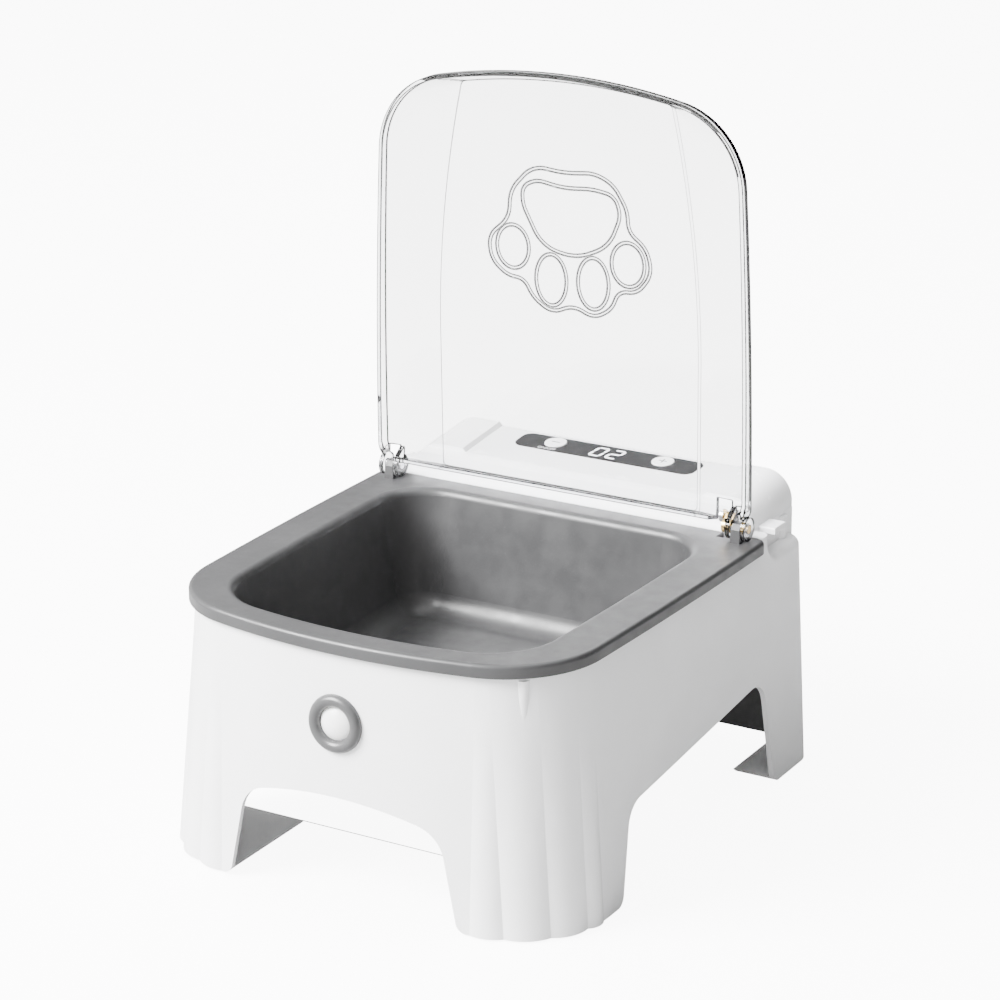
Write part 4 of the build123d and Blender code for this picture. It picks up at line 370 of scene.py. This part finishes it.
# ---------------------------------------------------------------- keys and their marks
# Two round white keys with a dark minus and plus printed on them, and words under the minus key.
# Moulded with a hard coat, on plungers that press the board's switches.
KEY_X = 0.031
KEY_MIDDLE = 0.0102
KEY_FACE = 0.0006
MARK_LENGTH = 0.0046
MARK_STROKE = 0.0007
key_white = moulded(
    "key_white", (0.82, 0.82, 0.82), (0.86, 0.86, 0.86), (0.36, 0.46), 0.0005, 0.00001
)
finish_with(key_white, "minus_key", "plus_key")
mark_ink = moulded(
    "mark_ink", (0.045, 0.045, 0.047), (0.06, 0.06, 0.062), (0.5, 0.6), 0.0004, 0.000004
)


def mark_bar(centre_x, length, stroke):
    """Rectangle of a printed stroke about a key's middle."""
    half = np.array([length, stroke]) / 2
    corners = np.array([(-1, -1), (1, -1), (1, 1), (-1, 1)]) * half
    return corners + np.array([centre_x, KEY_MIDDLE])


minus_parts = [mark_bar(-KEY_X, MARK_LENGTH, MARK_STROKE)]
flat_pieces("minus_mark", minus_parts, KEY_FACE, mark_ink, "minus_button")
plus_arm = (MARK_LENGTH - MARK_STROKE) / 2
plus_shift = (plus_arm + MARK_STROKE) / 2
plus_parts = [mark_bar(KEY_X, MARK_LENGTH, MARK_STROKE)]
for side in (-1, 1):
    plus_parts.append(mark_bar(KEY_X, MARK_STROKE, plus_arm) + np.array([0, side * plus_shift]))
flat_pieces("plus_mark", plus_parts, KEY_FACE, mark_ink, "plus_button")

WORDS_SIZE = 0.0028
WORDS_PLACE = (-KEY_X - 0.001, 0.0011, PANEL_FACE + PRINT_SHEET / 2)
words_curve = bpy.data.curves.new("on_off_words", "FONT")
words_curve.body = "ON/OFF"
words_curve.size = WORDS_SIZE
words_curve.align_x = "CENTER"
words_curve.extrude = PRINT_SHEET / 2
print_white = moulded(
    "print_white", (0.72, 0.72, 0.72), (0.80, 0.80, 0.80), (0.45, 0.55), 0.0003, 0.000004
)
words_curve.materials.append(print_white)
words = bpy.data.objects.new("on_off_words", words_curve)
bpy.context.scene.collection.objects.link(words)
words.matrix_world = panel_seat @ Matrix.Translation(WORDS_PLACE)
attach(words, "housing")


# ---------------------------------------------------------------- switches, boards and display
# Control board under the hood, its display and two click switches, and the sensor's board.
# Green solder mask over glass fibre; pressed steel switch cans; black epoxy display.
def circuit(name):
    """Solder mask with a faint weave and darker lines where the copper runs under it."""
    material, tree, shader = new_material(name)
    tracks = noise(tree, 0.0035, 1.0, (1.0, 0.25, 1.0))
    shade(tree, shader, tracks, (0.012, 0.085, 0.030), (0.022, 0.160, 0.055))
    gloss = spread(tree, noise(tree, 0.004, 3.0), 0.22, 0.36)
    tree.links.new(gloss, shader.inputs["Roughness"])
    relief(tree, shader, noise(tree, 0.0012, 3.0), 0.00003)
    return material


def metal(name, dark, light, gloss, grain, stretch, depth):
    """Bare metal whose colour and brightness follow its brushed or turned lines."""
    material, tree, shader = new_material(name)
    shade(tree, shader, noise(tree, grain, 4.0, stretch), dark, light)
    shader.inputs["Metallic"].default_value = 1.0
    sheen = spread(tree, noise(tree, grain, 3.0, stretch), gloss[0], gloss[1])
    tree.links.new(sheen, shader.inputs["Roughness"])
    relief(tree, shader, noise(tree, grain * 0.6, 3.0, stretch), depth)
    return material


solder_mask = circuit("solder_mask")
finish_with(solder_mask, "control_board", "sensor_board")
switch_steel = metal(
    "switch_steel", (0.50, 0.50, 0.51), (0.62, 0.62, 0.63), (0.28, 0.40), 0.0008, (1, 4, 1), 0.00001
)
finish_with(switch_steel, "tact_switches")
epoxy_black = moulded(
    "epoxy_black", (0.012, 0.012, 0.013), (0.02, 0.02, 0.021), (0.18, 0.26), 0.0006, 0.00001
)
finish_with(epoxy_black, "display_module", "minus_plunger", "plus_plunger")


# ---------------------------------------------------------------- hinge pins, crank and link
# Brass drive pin on the right of the lid, a plain steel pin on the left, and the steel link
# that joins the lid's crank to the output crank. Turned and pressed, left bare.
brass = metal(
    "brass", (0.60, 0.41, 0.16), (0.74, 0.53, 0.24), (0.20, 0.32), 0.0006, (6, 1, 1), 0.000008
)
finish_with(brass, "drive_pin", "motor_pinion")
steel = metal(
    "steel", (0.48, 0.48, 0.50), (0.62, 0.62, 0.64), (0.22, 0.36), 0.0007, (6, 1, 1), 0.000008
)
finish_with(steel, "hinge_pin", "drive_link", "output_crank", "motor_shaft", "gear_axles")


# ---------------------------------------------------------------- gears and their frame
# Toothed sector and two compound gears in natural acetal, between two black frame halves.
# The gears are moulded with a slightly waxy surface; the frame is glass-filled nylon.
acetal = moulded(
    "acetal", (0.62, 0.59, 0.50), (0.70, 0.67, 0.58), (0.34, 0.46), 0.0008, 0.00001
)
finish_with(acetal, "output_gear", "gear_stage_two", "gear_stage_one")
filled_nylon = moulded(
    "filled_nylon", (0.028, 0.028, 0.030), (0.050, 0.050, 0.053), (0.45, 0.60), 0.0009, 0.00005
)
finish_with(filled_nylon, "gear_frame", "gear_frame_cover")


# ---------------------------------------------------------------- motor
# Small round motor with a drawn and zinc-plated can, pressed against the frame.
# Fine lines run round it from drawing and plating.
motor_zinc = metal(
    "motor_zinc", (0.42, 0.43, 0.45), (0.56, 0.57, 0.59), (0.24, 0.40), 0.0012, (8, 1, 1), 0.00001
)
finish_with(motor_zinc, "motor")


# ---------------------------------------------------------------- cells, contacts and socket
# Four cells in the rear box with their spring plates, and the low-voltage inlet.
# The cells wear a dark shrink sleeve, the plates are nickel-plated steel.
cell_sleeve = moulded(
    "cell_sleeve", (0.020, 0.024, 0.032), (0.040, 0.046, 0.060), (0.22, 0.34), 0.0020, 0.00001
)
finish_with(cell_sleeve, "battery_cells")
nickel = metal(
    "nickel", (0.56, 0.54, 0.50), (0.68, 0.66, 0.62), (0.20, 0.34), 0.0009, (1, 1, 5), 0.00001
)
finish_with(nickel, "battery_contacts")
socket_black = moulded(
    "socket_black", (0.014, 0.014, 0.015), (0.024, 0.024, 0.026), (0.36, 0.48), 0.0005, 0.00002
)
finish_with(socket_black, "power_socket")


# ---------------------------------------------------------------- rubber feet
# Four round pads pressed into the bottoms of the legs, to stop the feeder sliding.
# Soft black rubber with a dull, dusty surface.
foot_rubber = moulded(
    "foot_rubber", (0.020, 0.020, 0.020), (0.036, 0.036, 0.037), (0.70, 0.85), 0.0010, 0.00006
)
finish_with(foot_rubber, "rubber_feet")


# ---------------------------------------------------------------- screws
# Self-tapping screws of the base, hood, frame and boards.
# Zinc-plated steel, turned heads.
screw_zinc = metal(
    "screw_zinc", (0.44, 0.44, 0.46), (0.60, 0.60, 0.62), (0.24, 0.40), 0.0005, (1, 1, 6), 0.000008
)
finish_with(screw_zinc, "base_screws", "hood_screws", "frame_screws", "board_screws")


# ---------------------------------------------------------------- leads
# Insulated leads from the motor, cells, socket and sensor to the control board.
# Soft PVC in red for the supply and black for the rest, slightly waxy.
lead_red = moulded(
    "lead_red", (0.30, 0.02, 0.016), (0.38, 0.03, 0.022), (0.35, 0.5), 0.0012, 0.00002
)
finish_with(lead_red, "motor_wire", "battery_wire")
lead_black = moulded(
    "lead_black", (0.018, 0.018, 0.019), (0.03, 0.03, 0.031), (0.35, 0.5), 0.0012, 0.00002
)
finish_with(lead_black, "socket_wire", "sensor_wire")


# ---------------------------------------------------------------- studio
# Pale floor that runs out of sight, a wide key light at the front left, a weak fill at the
# right, a sky that is dim behind and to the right, and a camera at the front right.
FLOOR_HALF = 8.0
FLOOR_DARK = (0.42, 0.42, 0.42)
FLOOR_LIGHT = (0.44, 0.44, 0.44)
FLOOR_GLOW = 9.0
FLOOR_THROUGH = 0.5
floor_mesh = bpy.data.meshes.new("studio_floor")
floor_corners = np.array([(-1, -1, 0), (1, -1, 0), (1, 1, 0), (-1, 1, 0)]) * FLOOR_HALF
floor_mesh.from_pydata(floor_corners.tolist(), [], [(0, 1, 2, 3)])
floor = bpy.data.objects.new("studio_floor", floor_mesh)
bpy.context.scene.collection.objects.link(floor)
floor_paint, floor_tree, floor_shader = new_material("floor_paint")
shade(floor_tree, floor_shader, noise(floor_tree, 0.5, 2.0), FLOOR_DARK, FLOOR_LIGHT)
floor_shader.inputs["Roughness"].default_value = 0.85
floor_shader.inputs["Emission Color"].default_value = (1.0, 1.0, 1.0, 1.0)
floor_rays = floor_tree.nodes.new("ShaderNodeLightPath")
floor_glow = floor_tree.nodes.new("ShaderNodeMath")
floor_glow.operation = "MULTIPLY"
floor_glow.inputs[1].default_value = FLOOR_GLOW
floor_through = floor_tree.nodes.new("ShaderNodeMath")
floor_through.operation = "MULTIPLY_ADD"
floor_through.inputs[1].default_value = FLOOR_THROUGH
floor_tree.links.new(floor_rays.outputs["Is Transmission Ray"], floor_through.inputs[0])
floor_tree.links.new(floor_rays.outputs["Is Camera Ray"], floor_through.inputs[2])
floor_tree.links.new(floor_through.outputs["Value"], floor_glow.inputs[0])
floor_tree.links.new(floor_glow.outputs["Value"], floor_shader.inputs["Emission Strength"])
floor_mesh.materials.append(floor_paint)


def soft_light(name, place, target, size, power):
    """Square soft light that looks at a point."""
    lamp = bpy.data.lights.new(name, "AREA")
    lamp.shape = "SQUARE"
    lamp.size = size
    lamp.energy = power
    light = bpy.data.objects.new(name, lamp)
    bpy.context.scene.collection.objects.link(light)
    light.location = place
    aim = Vector(target) - Vector(place)
    light.rotation_euler = aim.to_track_quat("-Z", "Y").to_euler()
    return light


LIT_PLACE = (0.0, 0.0, 0.10)
soft_light("key_light", (-1.3, -1.5, 1.7), LIT_PLACE, 1.3, 460.0)
soft_light("fill_light", (1.6, -0.6, 0.9), LIT_PLACE, 1.2, 1.0)
soft_light("top_light", (0.0, 0.3, 2.2), LIT_PLACE, 1.4, 24.0)

SKY_BRIGHT = 2.1
SKY_DIM = 0.05
DIM_SIDE = (0.78, 0.58, -0.24)
DIM_FALL = (-0.5, 0.55)
world = bpy.data.worlds.new("studio_world")
world.use_nodes = True
sky_tree = world.node_tree
sky = sky_tree.nodes["Background"]
sky.inputs["Color"].default_value = (1.0, 1.0, 1.0, 1.0)
sky_coords = sky_tree.nodes.new("ShaderNodeTexCoord")
sky_side = sky_tree.nodes.new("ShaderNodeVectorMath")
sky_side.operation = "DOT_PRODUCT"
sky_side.inputs[1].default_value = DIM_SIDE
sky_fall = sky_tree.nodes.new("ShaderNodeMapRange")
sky_fall.interpolation_type = "SMOOTHSTEP"
sky_fall.inputs["From Min"].default_value = DIM_FALL[0]
sky_fall.inputs["From Max"].default_value = DIM_FALL[1]
sky_fall.inputs["To Min"].default_value = SKY_BRIGHT
sky_fall.inputs["To Max"].default_value = SKY_DIM
sky_tree.links.new(sky_coords.outputs["Generated"], sky_side.inputs[0])
sky_tree.links.new(sky_side.outputs["Value"], sky_fall.inputs["Value"])
sky_tree.links.new(sky_fall.outputs["Result"], sky.inputs["Strength"])
bpy.context.scene.world = world

CAMERA_PLACE = (0.7450, -1.2731, 0.6673)
CAMERA_AZIMUTH = 30.05
CAMERA_ELEVATION = 19.03
CAMERA_LENS = 117.56
lens = bpy.data.cameras.new("studio_camera")
lens.sensor_width = 36.0
lens.lens = CAMERA_LENS
lens.clip_end = 50.0
camera = bpy.data.objects.new("studio_camera", lens)
bpy.context.scene.collection.objects.link(camera)
camera.location = CAMERA_PLACE
camera_tilt = math.radians(90.0 - CAMERA_ELEVATION)
camera.rotation_euler = (camera_tilt, 0.0, math.radians(CAMERA_AZIMUTH))
bpy.context.scene.camera = camera
